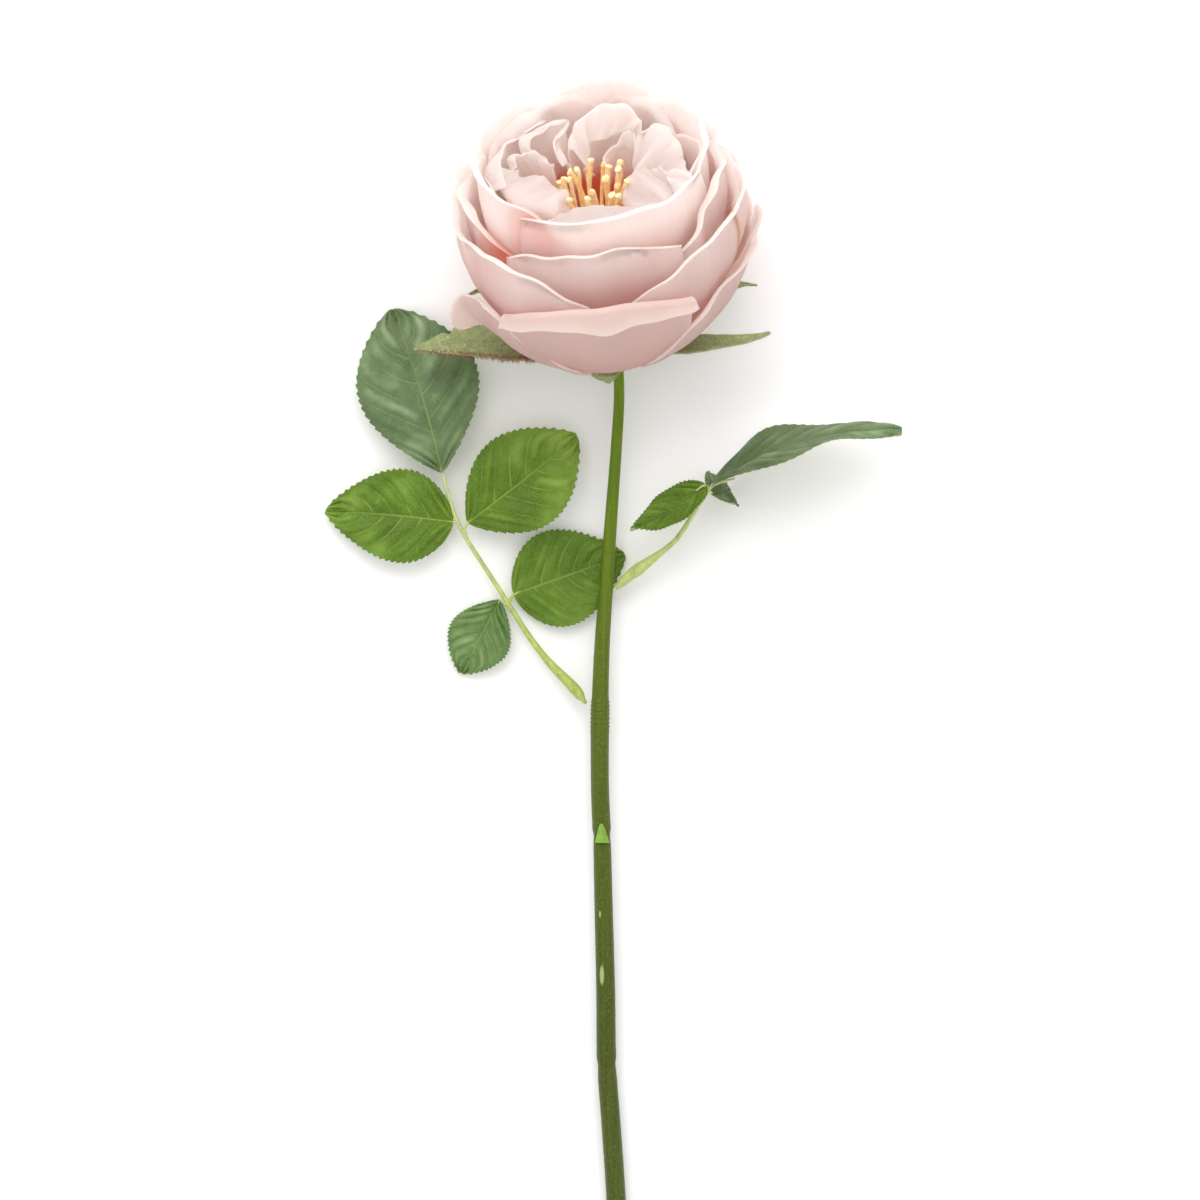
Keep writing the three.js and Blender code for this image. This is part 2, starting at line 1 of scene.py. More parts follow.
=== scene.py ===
# A cut garden rose lying on a pale table, seen from above: flower, hip and sepals, stem and two leaves.
import math
from functools import partial
import bpy
import numpy as np
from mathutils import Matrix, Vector


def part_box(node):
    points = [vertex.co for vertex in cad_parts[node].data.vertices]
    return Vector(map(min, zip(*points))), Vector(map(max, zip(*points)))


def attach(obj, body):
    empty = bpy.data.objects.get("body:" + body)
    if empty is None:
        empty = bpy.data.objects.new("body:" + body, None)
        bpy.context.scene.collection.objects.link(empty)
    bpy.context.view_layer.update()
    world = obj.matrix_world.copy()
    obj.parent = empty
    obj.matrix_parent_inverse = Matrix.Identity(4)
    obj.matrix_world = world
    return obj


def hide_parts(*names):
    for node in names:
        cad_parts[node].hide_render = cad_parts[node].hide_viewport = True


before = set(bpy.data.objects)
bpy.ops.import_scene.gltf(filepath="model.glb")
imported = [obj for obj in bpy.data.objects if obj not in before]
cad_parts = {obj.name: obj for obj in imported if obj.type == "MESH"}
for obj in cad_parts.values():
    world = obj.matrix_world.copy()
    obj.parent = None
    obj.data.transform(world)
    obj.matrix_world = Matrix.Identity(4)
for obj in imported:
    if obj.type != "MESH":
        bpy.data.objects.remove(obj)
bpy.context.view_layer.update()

degree = math.pi / 180
goldenAngle = 137.5 * degree


def toLinear(hexColour):
    parts = [int(hexColour[i:i + 2], 16) / 255 for i in (1, 3, 5)]
    return [p / 12.92 if p <= 0.04045 else ((p + 0.055) / 1.055) ** 2.4 for p in parts] + [1.0]


def addNode(tree, kind, inputs=None, **settings):
    # gives back the new node's outputs
    node = tree.nodes.new(kind)
    for key, value in settings.items():
        setattr(node, key, value)
    for key, value in (inputs or {}).items():
        if isinstance(value, bpy.types.NodeSocket):
            tree.links.new(value, node.inputs[key])
        else:
            node.inputs[key].default_value = value
    return node.outputs


def setRamp(ramp, stops):
    # stops are (place, colour) from left to right
    elements = ramp["Color"].node.color_ramp.elements
    while len(elements) < len(stops):
        elements.new(0.5)
    for element, (place, colour) in zip(elements, stops):
        element.position = place
        element.color = toLinear(colour)
    return ramp["Color"]


def startMaterial(name):
    material = bpy.data.materials.new(name)
    material.use_nodes = True
    material.node_tree.nodes.clear()
    return material, partial(addNode, material.node_tree)


# curves shared by the flower, the stem and the leaves

def splinePoints(points, places):
    # centripetal Catmull-Rom curve through the points, read at places from 0 to 1
    points = np.asarray(points, float)
    last = len(points) - 1
    ends = np.vstack([2 * points[0] - points[1], points, 2 * points[-1] - points[-2]])
    scaled = np.clip(np.asarray(places, float), 0, 1) * last
    index = np.minimum(scaled.astype(int), last - 1)
    weight = (scaled - index)[..., None]
    p0, p1, p2, p3 = (ends[index + k] for k in range(4))
    gaps = [((b - a) ** 2).sum(-1, keepdims=True) for a, b in ((p0, p1), (p1, p2), (p2, p3))]
    d0, d1, d2 = (np.maximum(gap ** 0.25, 1e-6) for gap in gaps)
    t1 = ((p1 - p0) / d0 - (p2 - p0) / (d0 + d1) + (p2 - p1) / d1) * d1
    t2 = ((p2 - p1) / d1 - (p3 - p1) / (d1 + d2) + (p3 - p2) / d2) * d1
    w2, w3 = weight ** 2, weight ** 3
    return (2 * w3 - 3 * w2 + 1) * p1 + (w3 - 2 * w2 + weight) * t1 + (3 * w2 - 2 * w3) * p2 + (w3 - w2) * t2


def ripple(seed, x, waves=(1, 2.3, 4.1)):
    # a smooth random line between about -1 and 1
    turns = np.random.RandomState(seed).uniform(0, 2 * math.pi, len(waves))
    pairs = enumerate(zip(waves, turns), 1)
    return sum(np.sin(wave * x * math.pi + turn) / share for share, (wave, turn) in pairs) / 1.5


def smoothStep(low, high, x):
    t = np.clip((x - low) / (high - low), 0, 1)
    return t * t * (3 - 2 * t)


# the flower's place: its axis stands off the table and leans to the side, as in the frame

flower = {
    "raise": 40 * degree,
    "lean": 8 * degree,
    "cupRadius": 48.5,
    "outerStep": 3.9,
    "innerStep": 5.4,
    "seatRadius": 7,
    "seatTaper": 0.05,
    "seatHeight": 36,
    "offset": 1.05,
    "pressDepth": 1.2,
    "petalHalf": 0.3,
    "seatGap": 0.5,
    "waveCount": 5,
    "waveTurn": 40 * degree,
    "lipStart": 5 / 7,
    "footSpread": 0.45,
}
cup, outerStep, innerStep = flower["cupRadius"], flower["outerStep"], flower["innerStep"]
rim = cup - 3 * outerStep
rows = {
    "guard": {"foot": 0, "belly": cup, "rim": cup - 0.5, "height": 52, "wave": 0},
    "outer": {"foot": 4, "belly": cup - outerStep, "rim": cup - outerStep, "height": 59, "wave": 0.3},
    "cup": {"foot": 8.5, "belly": cup - 2 * outerStep, "rim": cup - 2 * outerStep, "height": 68, "wave": 0.4},
    "rim": {"foot": 13, "belly": rim, "rim": rim - 0.6, "height": 78, "wave": 0.6},
    "inner": {"foot": 18, "belly": rim - innerStep, "rim": rim - innerStep - 1, "height": 71, "wave": 1.5},
}
for row, close, allRound in zip(rows.values(), (2.2, 2.5, 2.8, 2.6, 0), (0.25, 0.6, 0.9, 0.3, 0.2)):
    row["close"], row["allRound"] = close, allRound
    row["open"] = 2.4 if close == 0 else 0
    rise = row["height"] - row["foot"]
    handles = np.array([
        (flower["seatRadius"] - flower["seatTaper"] * row["foot"] + flower["seatGap"], row["foot"]),
        (0.55 * row["belly"], row["foot"] + 3.6),
        (1.03 * row["belly"], row["foot"] + 0.35 * rise),
        (row["rim"], row["height"]),
    ])
    t = np.linspace(0, 1, 801)[:, None]
    row["profile"] = ((1 - t) ** 3 * handles[0] + 3 * t * (1 - t) ** 2 * handles[1]
        + 3 * t ** 2 * (1 - t) * handles[2] + t ** 3 * handles[3])
    row["tangent"] = np.gradient(row["profile"], axis=0)
    row["tangent"] /= np.linalg.norm(row["tangent"], axis=1, keepdims=True)

guardOut, guardUp = rows["guard"]["profile"].T
guardDepth = (guardOut * math.cos(flower["raise"]) - guardUp * math.sin(flower["raise"])).max()
calyxHeight = guardDepth - flower["pressDepth"] + flower["offset"] + flower["petalHalf"]

# The stem's cut end ties these sizes to the frame: it is 320 mm from the calyx and 3 mm to the side.
stemEnd = {"sideways": 3, "distance": 320, "radius": 3.1}
stemCorners = np.array([v.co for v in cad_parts["stem"].data.vertices]) * 1000
capCorners = np.unique(stemCorners[stemCorners[:, 1] < stemCorners[:, 1].min() + 1].round(3), axis=0)
capMiddle = (capCorners.min(0) + capCorners.max(0)) / 2
calyx = capMiddle - (stemEnd["sideways"], -stemEnd["distance"], stemEnd["radius"])
print("calyx at", calyx.round(2), "mm, raised", round(calyxHeight, 2))


def fromFlower(points):
    # flower millimetres, axis along +Z, to metres in the frame
    x, y, z = np.moveaxis(np.asarray(points, float), -1, 0)
    up, lean = flower["raise"], flower["lean"]
    y1 = math.sin(up) * y + math.cos(up) * z
    z1 = -math.cos(up) * y + math.sin(up) * z + calyxHeight
    x2 = x * math.cos(lean) - y1 * math.sin(lean)
    y2 = x * math.sin(lean) + y1 * math.cos(lean)
    return (np.stack([x2, y2, z1], -1) + calyx) / 1000


def fromCalyx(points):
    return (np.asarray(points, float) + calyx) / 1000


# sheets: petals, sepals and leaf blades are closed thin solids round a middle surface

def showPiece(name, mesh, material=None):
    piece = bpy.data.objects.new(name, mesh)
    bpy.context.scene.collection.objects.link(piece)
    if material:
        mesh.materials.append(material)
    mesh.shade_smooth()
    return piece


def handOver(piece, node):
    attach(piece, "root")
    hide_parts(node)


def edgeLengths(middle, axis):
    steps = np.linalg.norm(np.diff(middle, axis=axis), axis=-1)
    zero = np.zeros_like(np.take(steps, [0], axis=axis))
    return np.concatenate([zero, np.cumsum(steps, axis=axis)], axis=axis)


def sheetNormals(middle):
    normal = np.cross(np.gradient(middle, axis=1), np.gradient(middle, axis=0))
    return normal / np.maximum(np.linalg.norm(normal, axis=-1, keepdims=True), 1e-12)


def keepNumbers(mesh, label, numbers):
    # one number for each point, which materials and Geometry Nodes read by its label
    mesh.attributes.new(label, "FLOAT", "POINT").data.foreach_set("value", numbers.astype(np.float32))


def sheetMesh(name, middle, thickness, facts):
    # middle is a grid of points in metres, thickness is in millimetres, facts are numbers kept at each point
    lines, columns = middle.shape[:2]
    pushed = np.asarray(thickness)[..., None] / 2000 * sheetNormals(middle)
    inside = np.zeros((lines, columns), bool)
    inside[1:-1, 1:-1] = True
    front = np.where(inside[..., None], middle + pushed, middle)
    back = (middle - pushed)[inside]
    frontIndex = np.arange(lines * columns).reshape(lines, columns)
    backIndex = frontIndex.copy()
    backIndex[inside] = lines * columns + np.arange(inside.sum())
    vertices = np.concatenate([front.reshape(-1, 3), back])
    # what touches the table is pressed flat on it
    vertices[:, 2] = np.maximum(vertices[:, 2], 0.0001)

    def quads(index):
        return np.stack([index[:-1, :-1], index[:-1, 1:], index[1:, 1:], index[1:, :-1]], -1).reshape(-1, 4)

    faces = np.concatenate([quads(frontIndex), quads(backIndex)[:, ::-1]])
    mesh = bpy.data.meshes.new(name)
    mesh.from_pydata(vertices.tolist(), [], faces.tolist())
    mesh.update()
    side = np.concatenate([np.where(inside, 1.0, 0.5).ravel(), np.zeros(inside.sum())])
    for label, values in {**facts, "frontSide": None}.items():
        whole = side if values is None else np.concatenate([values.ravel(), values[inside]])
        keepNumbers(mesh, label, whole)
    return mesh


def gridPlaces(columns, lines, lip=0.0):
    # places across from -1 to 1 and along from 0 to 1, with a close-set pair of lines at every edge
    across = np.linspace(-1, 1, columns)
    across = np.concatenate([[-1, -0.994], across[1:-1], [0.994, 1]])
    if lip:
        body = np.linspace(0, lip, lines)[:-1]
        turn = np.linspace(lip, 1, lines // 2 + 8)
        along = np.concatenate([body, turn])
    else:
        along = np.linspace(0, 1, lines)
    along = np.concatenate([[0, 0.004], along[1:-1], [0.995, 1]])
    return np.meshgrid(across, along)


# petals

petalFinish = {
    "frontStops": [(0.0, "#f89c84"), (0.3, "#f4bdb0"), (0.55, "#f4d0c9"), (0.8, "#f8e2dd"), (0.92, "#fbeeea"),
                   (1.0, "#fdf5f2")],
    "backStops": [(0.0, "#ff9878"), (0.16, "#fdc0ab"), (0.32, "#fce4db"), (0.55, "#fdf3ef"), (0.8, "#fdf7f5"),
                  (1.0, "#fdf8f6")],
    "rimColour": "#fffbf7",
    "veinColour": "#f0c3b8",
    "stainColour": "#d9ad62",
    "rimWidth": 4.5,
    "rimPaleness": 0.4,
    "roughness": 0.6,
    "glow": 0.7,
}


def petalMaterial(name, frontStops, backStops):
    # Rose petal, grown: matte velvet cells over thin flesh that lets light through. Its colour is deeper at
    # the foot, partly its own colour and partly painted shade where the next petals cover it and painted glow
    # of light caught deep in the flower, with fine veins that fan out to a pale rolled rim.
    material, add = startMaterial(name)
    facts = {label: add("ShaderNodeAttribute", attribute_name=label)["Fac"]
        for label in ("petalAcross", "petalAlong", "rimGap", "frontSide", "stain")}
    place = add("ShaderNodeTexCoord")["Object"]
    cloud = add("ShaderNodeTexNoise", {"Vector": place, "Scale": 55.0, "Detail": 3.0})["Fac"]
    drift = add("ShaderNodeMath", {0: cloud, 1: 0.22, 2: -0.11}, operation="MULTIPLY_ADD")[0]
    height = add("ShaderNodeMath", {0: facts["petalAlong"], 1: drift}, operation="ADD")[0]
    # the ramps run from a deep coral foot, partly own colour and partly painted shade and glow, to a pale top
    frontColour = setRamp(add("ShaderNodeValToRGB", {"Fac": height}), frontStops)
    backColour = setRamp(add("ShaderNodeValToRGB", {"Fac": height}), backStops)
    flesh = add("ShaderNodeMix", {0: facts["frontSide"], 6: backColour, 7: frontColour}, data_type="RGBA")[2]
    # veins: about 1.2 mm apart, long and thin, so the noise is stretched along the petal
    fan = add("ShaderNodeCombineXYZ", {"X": facts["petalAcross"], "Y": facts["petalAlong"]})[0]
    stretched = add("ShaderNodeVectorMath", {0: fan, 1: (15.0, 1.1, 1.0)}, operation="MULTIPLY")[0]
    veins = add("ShaderNodeTexNoise", {"Vector": stretched, "Scale": 1.0, "Detail": 3.0,
        "Distortion": 0.5})["Fac"]
    veinAmount = add("ShaderNodeMapRange", {"Value": veins, "From Min": 0.45, "From Max": 0.8,
        "To Min": 0.0, "To Max": 0.12})[0]
    veined = add("ShaderNodeMix", {0: veinAmount, 6: flesh, 7: toLinear(petalFinish["veinColour"])},
        data_type="RGBA")[2]
    stained = add("ShaderNodeMix", {0: facts["stain"], 6: veined, 7: toLinear(petalFinish["stainColour"])},
        data_type="RGBA")[2]
    rimAmount = add("ShaderNodeMapRange", {"Value": facts["rimGap"], "From Min": 0.0,
        "From Max": petalFinish["rimWidth"], "To Min": petalFinish["rimPaleness"], "To Max": 0.0},
        interpolation_type="SMOOTHSTEP")[0]
    colour = add("ShaderNodeMix", {0: rimAmount, 6: stained, 7: toLinear(petalFinish["rimColour"])},
        data_type="RGBA")[2]
    fine = add("ShaderNodeTexNoise", {"Vector": place, "Scale": 900.0, "Detail": 2.0})["Fac"]
    relief = add("ShaderNodeMath", {0: fine, 1: 0.4, 2: veins}, operation="MULTIPLY_ADD")[0]
    bump = add("ShaderNodeBump", {"Strength": 0.2, "Distance": 0.0003, "Height": relief})[0]
    roughness = add("ShaderNodeMapRange", {"Value": cloud, "To Min": petalFinish["roughness"] - 0.08,
        "To Max": petalFinish["roughness"] + 0.1})[0]
    flat = add("ShaderNodeBsdfPrincipled", {"Base Color": colour, "Roughness": roughness, "Normal": bump,
        "IOR": 1.4, "Sheen Weight": 0.25, "Sheen Roughness": 0.4})[0]
    through = add("ShaderNodeBsdfTranslucent", {"Color": colour, "Normal": bump})[0]
    both = add("ShaderNodeMixShader", {0: petalFinish["glow"], 1: flat, 2: through})[0]
    add("ShaderNodeOutputMaterial", {"Surface": both})
    return material


petalSizes = {"thickness": 0.42, "columns": 60, "lines": 34, "sharedFold": 0.66, "frill": 1.2,
    "ruffle": 1.3, "lipWave": 0.4, "lipEnds": 0.35, "corner": 2.2, "rimReach": 6}
# each petal: its row, the angle it faces, half its spread, its rim's height at the left, middle and right,
# whether each side lies over (1) or under (-1) its neighbour, its lip's reach, how far that rolls, and extras
petalFields = ("row", "around", "half", "rim", "sides", "lip", "roll")
petalTable = [
    ("guard", -96, 40, (37, 46, 38), (-1, -1), 9, 2.7,
     {"bend": 1.6, "lipEnds": 0.75, "ruffle": 0.5, "frill": 0.4, "lipWave": 0.13}),
    ("guard", -143, 34, (31, 37, 16), (1, 1), 2.4, 1.6, {"corner": 1.1, "curl": (-1, 2.5, 15)}),
    ("guard", -29, 46, (14, 33, 33), (1, 1), 3, 1.4, {"corner": 1.5, "curl": (1, 3, 1.5)}),
    ("guard", 42, 40, (36, 45, 36), (-1, -1), 3, 1.4, {}),
    ("guard", 118, 52, (36, 44, 35), (1, -1), 3, 1.4, {}),
    ("outer", -140, 41, (49, 56, 44), (1, 1), 2.8, 1.9, {}),
    ("outer", -35, 47, (43, 52, 53), (1, 1), 3, 1.5, {"stain": (0.3, 0.035)}),
    ("outer", 31, 38, (48, 55, 48), (-1, -1), 4.5, 1.3, {"frill": 2.2}),
    ("outer", 100, 42, (48, 57, 48), (1, 1), 2, 1.6, {}),
    ("outer", 165, 39, (47, 55, 48), (-1, -1), 5, 1.2, {}),
    ("cup", -96, 44, (54, 61.5, 53), (1, 1), 2.4, 1.6, {}),
    ("cup", -9, 49, (50, 59, 52), (-1, 1), 4.2, 1.5, {"frill": 2.2, "ruffle": 1.8}),
    ("cup", 60, 37, (56, 64, 56), (-1, -1), 2, 1.2, {}),
    ("cup", 125, 35, (56, 65, 56), (1, 1), 2, 1.2, {}),
    ("cup", 188, 39, (53, 61, 52), (-1, -1), 4.2, 1.5, {"coveredShade": 0.82}),
    ("rim", -76, 57, (68, 71, 66), (1, 1), 3, 2, {"frill": 0.9}),
    ("rim", 20, 43, (62, 69, 62), (-1, -1), 4, 1.5, {"lipEnds": 0.2}),
    ("rim", 80, 38, (64, 70, 64), (1, 1), 2, 1.2, {}),
    ("rim", 140, 37, (64, 71, 66), (-1, 1), 2, 1.2, {}),
    ("rim", 205, 48, (66, 73, 62), (-1, -1), 3.6, 1.5, {"lipEnds": 0.2, "frill": 0.6, "coveredShade": 0.82}),
]
petals = [{**dict(zip(petalFields, row)), **row[-1]} for row in petalTable]
for index in range(6):
    middleRim = 65 + 2 * math.sin(2.4 * index - 62)
    atBack = math.sin((60 * index - 62) * degree) > 0.2
    petals.append({"row": "inner", "around": -62 + 60 * index, "half": 37,
        "rim": [middleRim - 7, middleRim, middleRim - 7], "sides": [1, 1] if index % 2 == 0 else [-1, -1],
        "lip": 4 if atBack else 1.2, "roll": 1.8 if atBack else 1, "frill": 1.3 if atBack else 0.3})


def petalGrid(petal, seed):
    # the petal's middle surface in flower millimetres
    row = rows[petal["row"]]
    across, along = gridPlaces(petalSizes["columns"], petalSizes["lines"], flower["lipStart"])
    side = np.abs(across)
    leftRim, middleRim, rightRim = petal["rim"]
    sideRim = np.where(across < 0, leftRim, rightRim)
    rimHeight = middleRim + (sideRim - middleRim) * side ** petal.get("corner", petalSizes["corner"])
    rimHeight = rimHeight + petal.get("ruffle", petalSizes["ruffle"]) * ripple(seed, across, (0.9, 2.1, 3.9))
    stops = np.linspace(0, 1, len(row["profile"]))
    rimPlace = np.interp(rimHeight, row["profile"][:, 1], stops)
    upBody = np.minimum(along / flower["lipStart"], 1)
    spread = 1 - (1 - flower["footSpread"]) * (1 - np.minimum(upBody / 0.6, 1)) ** 2
    angle = (petal["around"] + across * petal["half"] * spread) * degree

    place = rimPlace * upBody
    radius, height = (np.interp(place, stops, row["profile"][:, k]) for k in (0, 1))
    outTangent, upTangent = (np.interp(place, stops, row["tangent"][:, k]) for k in (0, 1))
    overUnder = np.where(across < 0, petal["sides"][0], petal["sides"][1])
    offset = flower["offset"] * overUnder * side ** 1.5 * np.minimum(3 * upBody, 1)
    radius = radius + upTangent * offset
    height = height - outTangent * offset
    radius = radius + row["wave"] * upBody ** 2 * np.sin(flower["waveCount"] * angle + flower["waveTurn"])
    # soft folds that every row shares, so that neighbours keep their distance
    shared = np.sin(3 * angle + 0.05 * height) + 0.6 * np.sin(7 * angle - 0.09 * height + 1)
    radius = radius + petalSizes["sharedFold"] * upBody * shared
    # a frill of the petal's own, just under its rim
    frill = petal.get("frill", petalSizes["frill"]) * smoothStep(0.5, 1, upBody)
    radius = radius + frill * ripple(seed + 50, across, (1.1, 2.6, 4.7))

    lip = petal["lip"] * (1 - (1 - petal.get("lipEnds", petalSizes["lipEnds"])) * across ** 2)
    lipRipple = ripple(seed + 90, across, (1.3, 2.7, 4.9))
    lip = lip * (1 + petal.get("lipWave", petalSizes["lipWave"]) * lipRipple)
    bend = np.minimum(petal.get("bend", 1e9), lip / petal["roll"])
    onLip = lip * np.maximum((along - flower["lipStart"]) / (1 - flower["lipStart"]), 0)
    turned = np.minimum(onLip / bend, petal["roll"])
    beyond = onLip - turned * bend
    upwards = bend * np.sin(turned) + beyond * np.cos(turned)
    outwards = bend * (1 - np.cos(turned)) + beyond * np.sin(turned)
    radius = radius + upwards * outTangent + outwards * upTangent
    height = height + upwards * upTangent - outwards * outTangent
    if "curl" in petal:
        # one upper corner turns outwards and down
        cornerSide, reach, hang = petal["curl"]
        amount = smoothStep(0.45, 1, across * cornerSide) * smoothStep(0.5, 1, upBody)
        radius = radius + reach * amount
        height = height - hang * amount ** 2
    # the rim closes in on the next row, and the inner row opens out to the row round it
    toRimHeight = np.maximum(rimHeight - height, 0)
    front = smoothStep(-0.35, 0.45, -np.sin(angle))
    facing = row["allRound"] + (1 - row["allRound"]) * front
    nearRim = np.exp(-toRimHeight / petalSizes["rimReach"]) * smoothStep(0.2, 0.7, upBody)
    radius = radius - row["close"] * facing * nearRim
    radius = radius + row["open"] * (1 - front) * smoothStep(0.2, 0.8, upBody)
    x, y = radius * np.cos(angle), radius * np.sin(angle)
    deepest = guardDepth - flower["pressDepth"] + offset
    y = np.minimum(y, (deepest + height * math.sin(flower["raise"])) / math.cos(flower["raise"]))
    return across, along, np.stack([x, y, height], -1)


def petalFacts(across, along, millimetres, lipStart):
    alongLength, acrossLength = edgeLengths(millimetres, 0), edgeLengths(millimetres, 1)
    toRim = alongLength[-1] - alongLength
    toSide = np.minimum(acrossLength, acrossLength[:, -1:] - acrossLength)
    gap = np.minimum(toRim, 1.3 * toSide)
    return {"petalAcross": across, "petalAlong": np.minimum(along / lipStart, 1), "rimGap": gap}


foldedSizes = {"columns": 56, "lines": 44, "deepHeight": 48, "paleRise": 13}
# The innermost petals are folded every way: each hangs between its rim and its crest, two curves of points
# in the flower's own millimetres, and its foot, an arc of (first angle, last angle, radius, height).
foldedPetals = [
    {"node": "heart_petal_1", "foot": (-60, -15, 8, 26), "crumple": 1.04,
     "rim": [(23, -21, 60), (23.5, -12, 62), (22.5, -6, 63), (28, -5.5, 64)],
     "crest": [(24.5, -20, 60), (27, -16.5, 62), (29, -12, 63), (30, -9, 63)]},
    {"node": "heart_petal_2", "foot": (-5, 50, 8, 26), "crumple": 1.3,
     "rim": [(22, -3.5, 60), (18.5, 0.5, 59), (14.5, 3, 58), (12, 6.5, 58), (13, 10, 60)],
     "crest": [(29, -4, 62), (28.5, 2, 65), (26, 8, 67), (21.5, 13, 68), (16, 14.5, 66)]},
    {"node": "heart_petal_3", "foot": (60, 115, 8, 26), "crumple": 1.17,
     "rim": [(14, 17.5, 64), (8.5, 18, 63), (4, 18, 62), (0, 16.5, 61), (0, 13, 59), (1.5, 8, 57)],
     "crest": [(17.5, 16, 67), (14.5, 21.5, 69), (7.5, 24, 70), (0.5, 21.5, 69), (-4.5, 19.5, 66),
               (-6, 15, 62)]},
    {"node": "heart_petal_4", "foot": (100, 150, 8, 26), "crumple": 1.04,
     "rim": [(-8.5, 10, 60), (-10, 15.5, 63), (-7.5, 18.5, 65), (-5, 23, 67), (-10, 22.5, 66), (-14, 20, 66),
             (-17.5, 16.5, 65), (-17, 14, 62)],
     "crest": [(-7, 12, 57), (-8, 17, 60), (-6.5, 20, 62), (-6, 24, 64), (-11, 24, 64), (-16.5, 21.5, 63),
               (-20, 18, 62), (-20, 14, 60)]},
    {"node": "heart_petal_5", "foot": (150, 215, 8, 26), "crumple": 1.17,
     "rim": [(-12, 25.5, 67), (-17, 23, 67), (-21, 21, 66), (-24, 15, 66), (-27, 7, 65), (-26.5, -0.5, 63)],
     "crest": [(-14, 28, 62), (-19, 25, 62), (-23.5, 21, 62), (-27.5, 15.5, 62), (-30.5, 7.5, 61),
               (-31.5, -1, 60)]},
    {"node": "heart_petal_6", "foot": (-130, -50, 8, 26), "crumple": 0.91,
     "rim": [(-15.5, -16.5, 60), (-11, -12.5, 60), (-6, -12, 60), (1, -13, 60), (7.5, -14.5, 60),
             (14.5, -18, 60), (20.5, -22.5, 60)],
     "crest": [(-22, -22.5, 60), (-17, -26.5, 61), (-8, -30.5, 61), (-0.5, -31.5, 61), (7.5, -30.5, 61),
               (15.5, -27.5, 61), (21, -23.5, 60)]},
    {"node": "centre_petal_1", "foot": (-115, -60, 6.6, 30), "crumple": 0.65,
     "rim": [(-5, -9.5, 53), (-2, -10.5, 54), (2, -10.5, 54), (6, -9.5, 53)],
     "crest": [(-6, -10.5, 49), (-2, -11.5, 50), (2, -11.5, 50), (7, -10.5, 49)]},
    {"node": "centre_petal_2", "foot": (-45, 10, 6.6, 30), "crumple": 1.43,
     "rim": [(7.5, -9.5, 57), (10, -2, 59), (14, 2, 61), (19, 1, 62), (21.5, -3.5, 62)],
     "crest": [(14, -20.5, 57), (20, -17.5, 60), (24, -14.5, 61), (26.5, -11.5, 61), (27, -9, 60)]},
    {"node": "centre_petal_3", "foot": (25, 75, 6.6, 30), "crumple": 0.91,
     "rim": [(16, 11, 61), (13.5, 17, 65), (8.5, 14, 62), (3.5, 12, 59), (2.5, 8, 55)],
     "crest": [(17.5, 10, 55), (15.5, 14, 58), (10.5, 14.5, 57), (6, 13, 55), (3.5, 9.5, 52)]},
    {"node": "centre_petal_4", "foot": (110, 160, 6.6, 30), "crumple": 0.91,
     "rim": [(-11.5, 9.5, 61), (-13, 12, 63), (-18.5, 14, 64), (-22, 12.5, 64), (-23, 9.5, 63)],
     "crest": [(-12, 9, 57), (-15, 12.5, 60), (-20, 14.5, 61), (-23.5, 13, 60), (-24.5, 9, 59)]},
    {"node": "centre_petal_5", "foot": (165, 235, 6.6, 30), "crumple": 1.04,
     "rim": [(-22, 9.5, 62), (-22, 6.5, 62), (-17, 5, 61), (-14.5, 3, 61), (-11.5, -1, 60), (-8.5, -3, 60),
             (-8, -6.5, 58), (-6, -9, 57)],
     "crest": [(-28.5, 8, 62), (-29, 1.5, 62), (-26.5, -4.5, 62), (-23.5, -9, 62), (-18, -11, 61),
               (-14.5, -13, 60), (-11.5, -14, 58), (-8.5, -14.5, 56)]},
]


def foldedGrid(petal, seed):
    across, along = gridPlaces(foldedSizes["columns"], foldedSizes["lines"])
    u = (across + 1) / 2
    firstAngle, lastAngle, footRadius, footHeight = petal["foot"]
    footAngle = (firstAngle + (lastAngle - firstAngle) * u) * degree
    foot = np.stack([footRadius * np.cos(footAngle), footRadius * np.sin(footAngle),
        np.full_like(u, footHeight)], -1)
    rimLine = splinePoints(petal["rim"], u)
    crest = splinePoints(petal["crest"], u)
    belly = foot * (0.42, 0.42, 0.55) + crest * (0.58, 0.58, 0.45)
    w = along[..., None] * 3
    # one Catmull-Rom length after the other: foot, belly, crest, rim
    before = [2 * foot - belly, foot, belly]
    first = [foot, belly, crest]
    second = [belly, crest, rimLine]
    after = [crest, rimLine, 2 * rimLine - crest]
    grid = np.zeros(across.shape + (3,))
    for k in range(3):
        here = ((w >= k) & (w <= k + 1))[..., 0]
        t = np.clip(w - k, 0, 1)
        p0, p1, p2, p3 = before[k], first[k], second[k], after[k]
        part = 0.5 * (2 * p1 + (p2 - p0) * t + (2 * p0 - 5 * p1 + 4 * p2 - p3) * t ** 2
            + (3 * p1 - p0 - 3 * p2 + p3) * t ** 3)
        grid[here] = part[here]
    folds = ripple(seed, across + 0.25 * along, (1.1, 2.6, 4.3)) * smoothStep(0.1, 0.9, along)
    crumple = 0.5 * ripple(seed + 7, 1.5 * along + 0.8 * across, (1.7, 3.3, 5.1))
    crumple = crumple + 0.4 * ripple(seed + 21, 1.3 * across - 1.2 * along, (2.1, 4.9))
    crumple = crumple * smoothStep(0.3, 0.8, along)
    grid = grid + (petal["crumple"] * (folds + crumple))[..., None] * sheetNormals(grid)
    grid[..., 2] += 0.7 * ripple(seed + 13, across, (2.3, 4.7, 7.1)) * smoothStep(0.75, 1, along)
    return across, along, grid


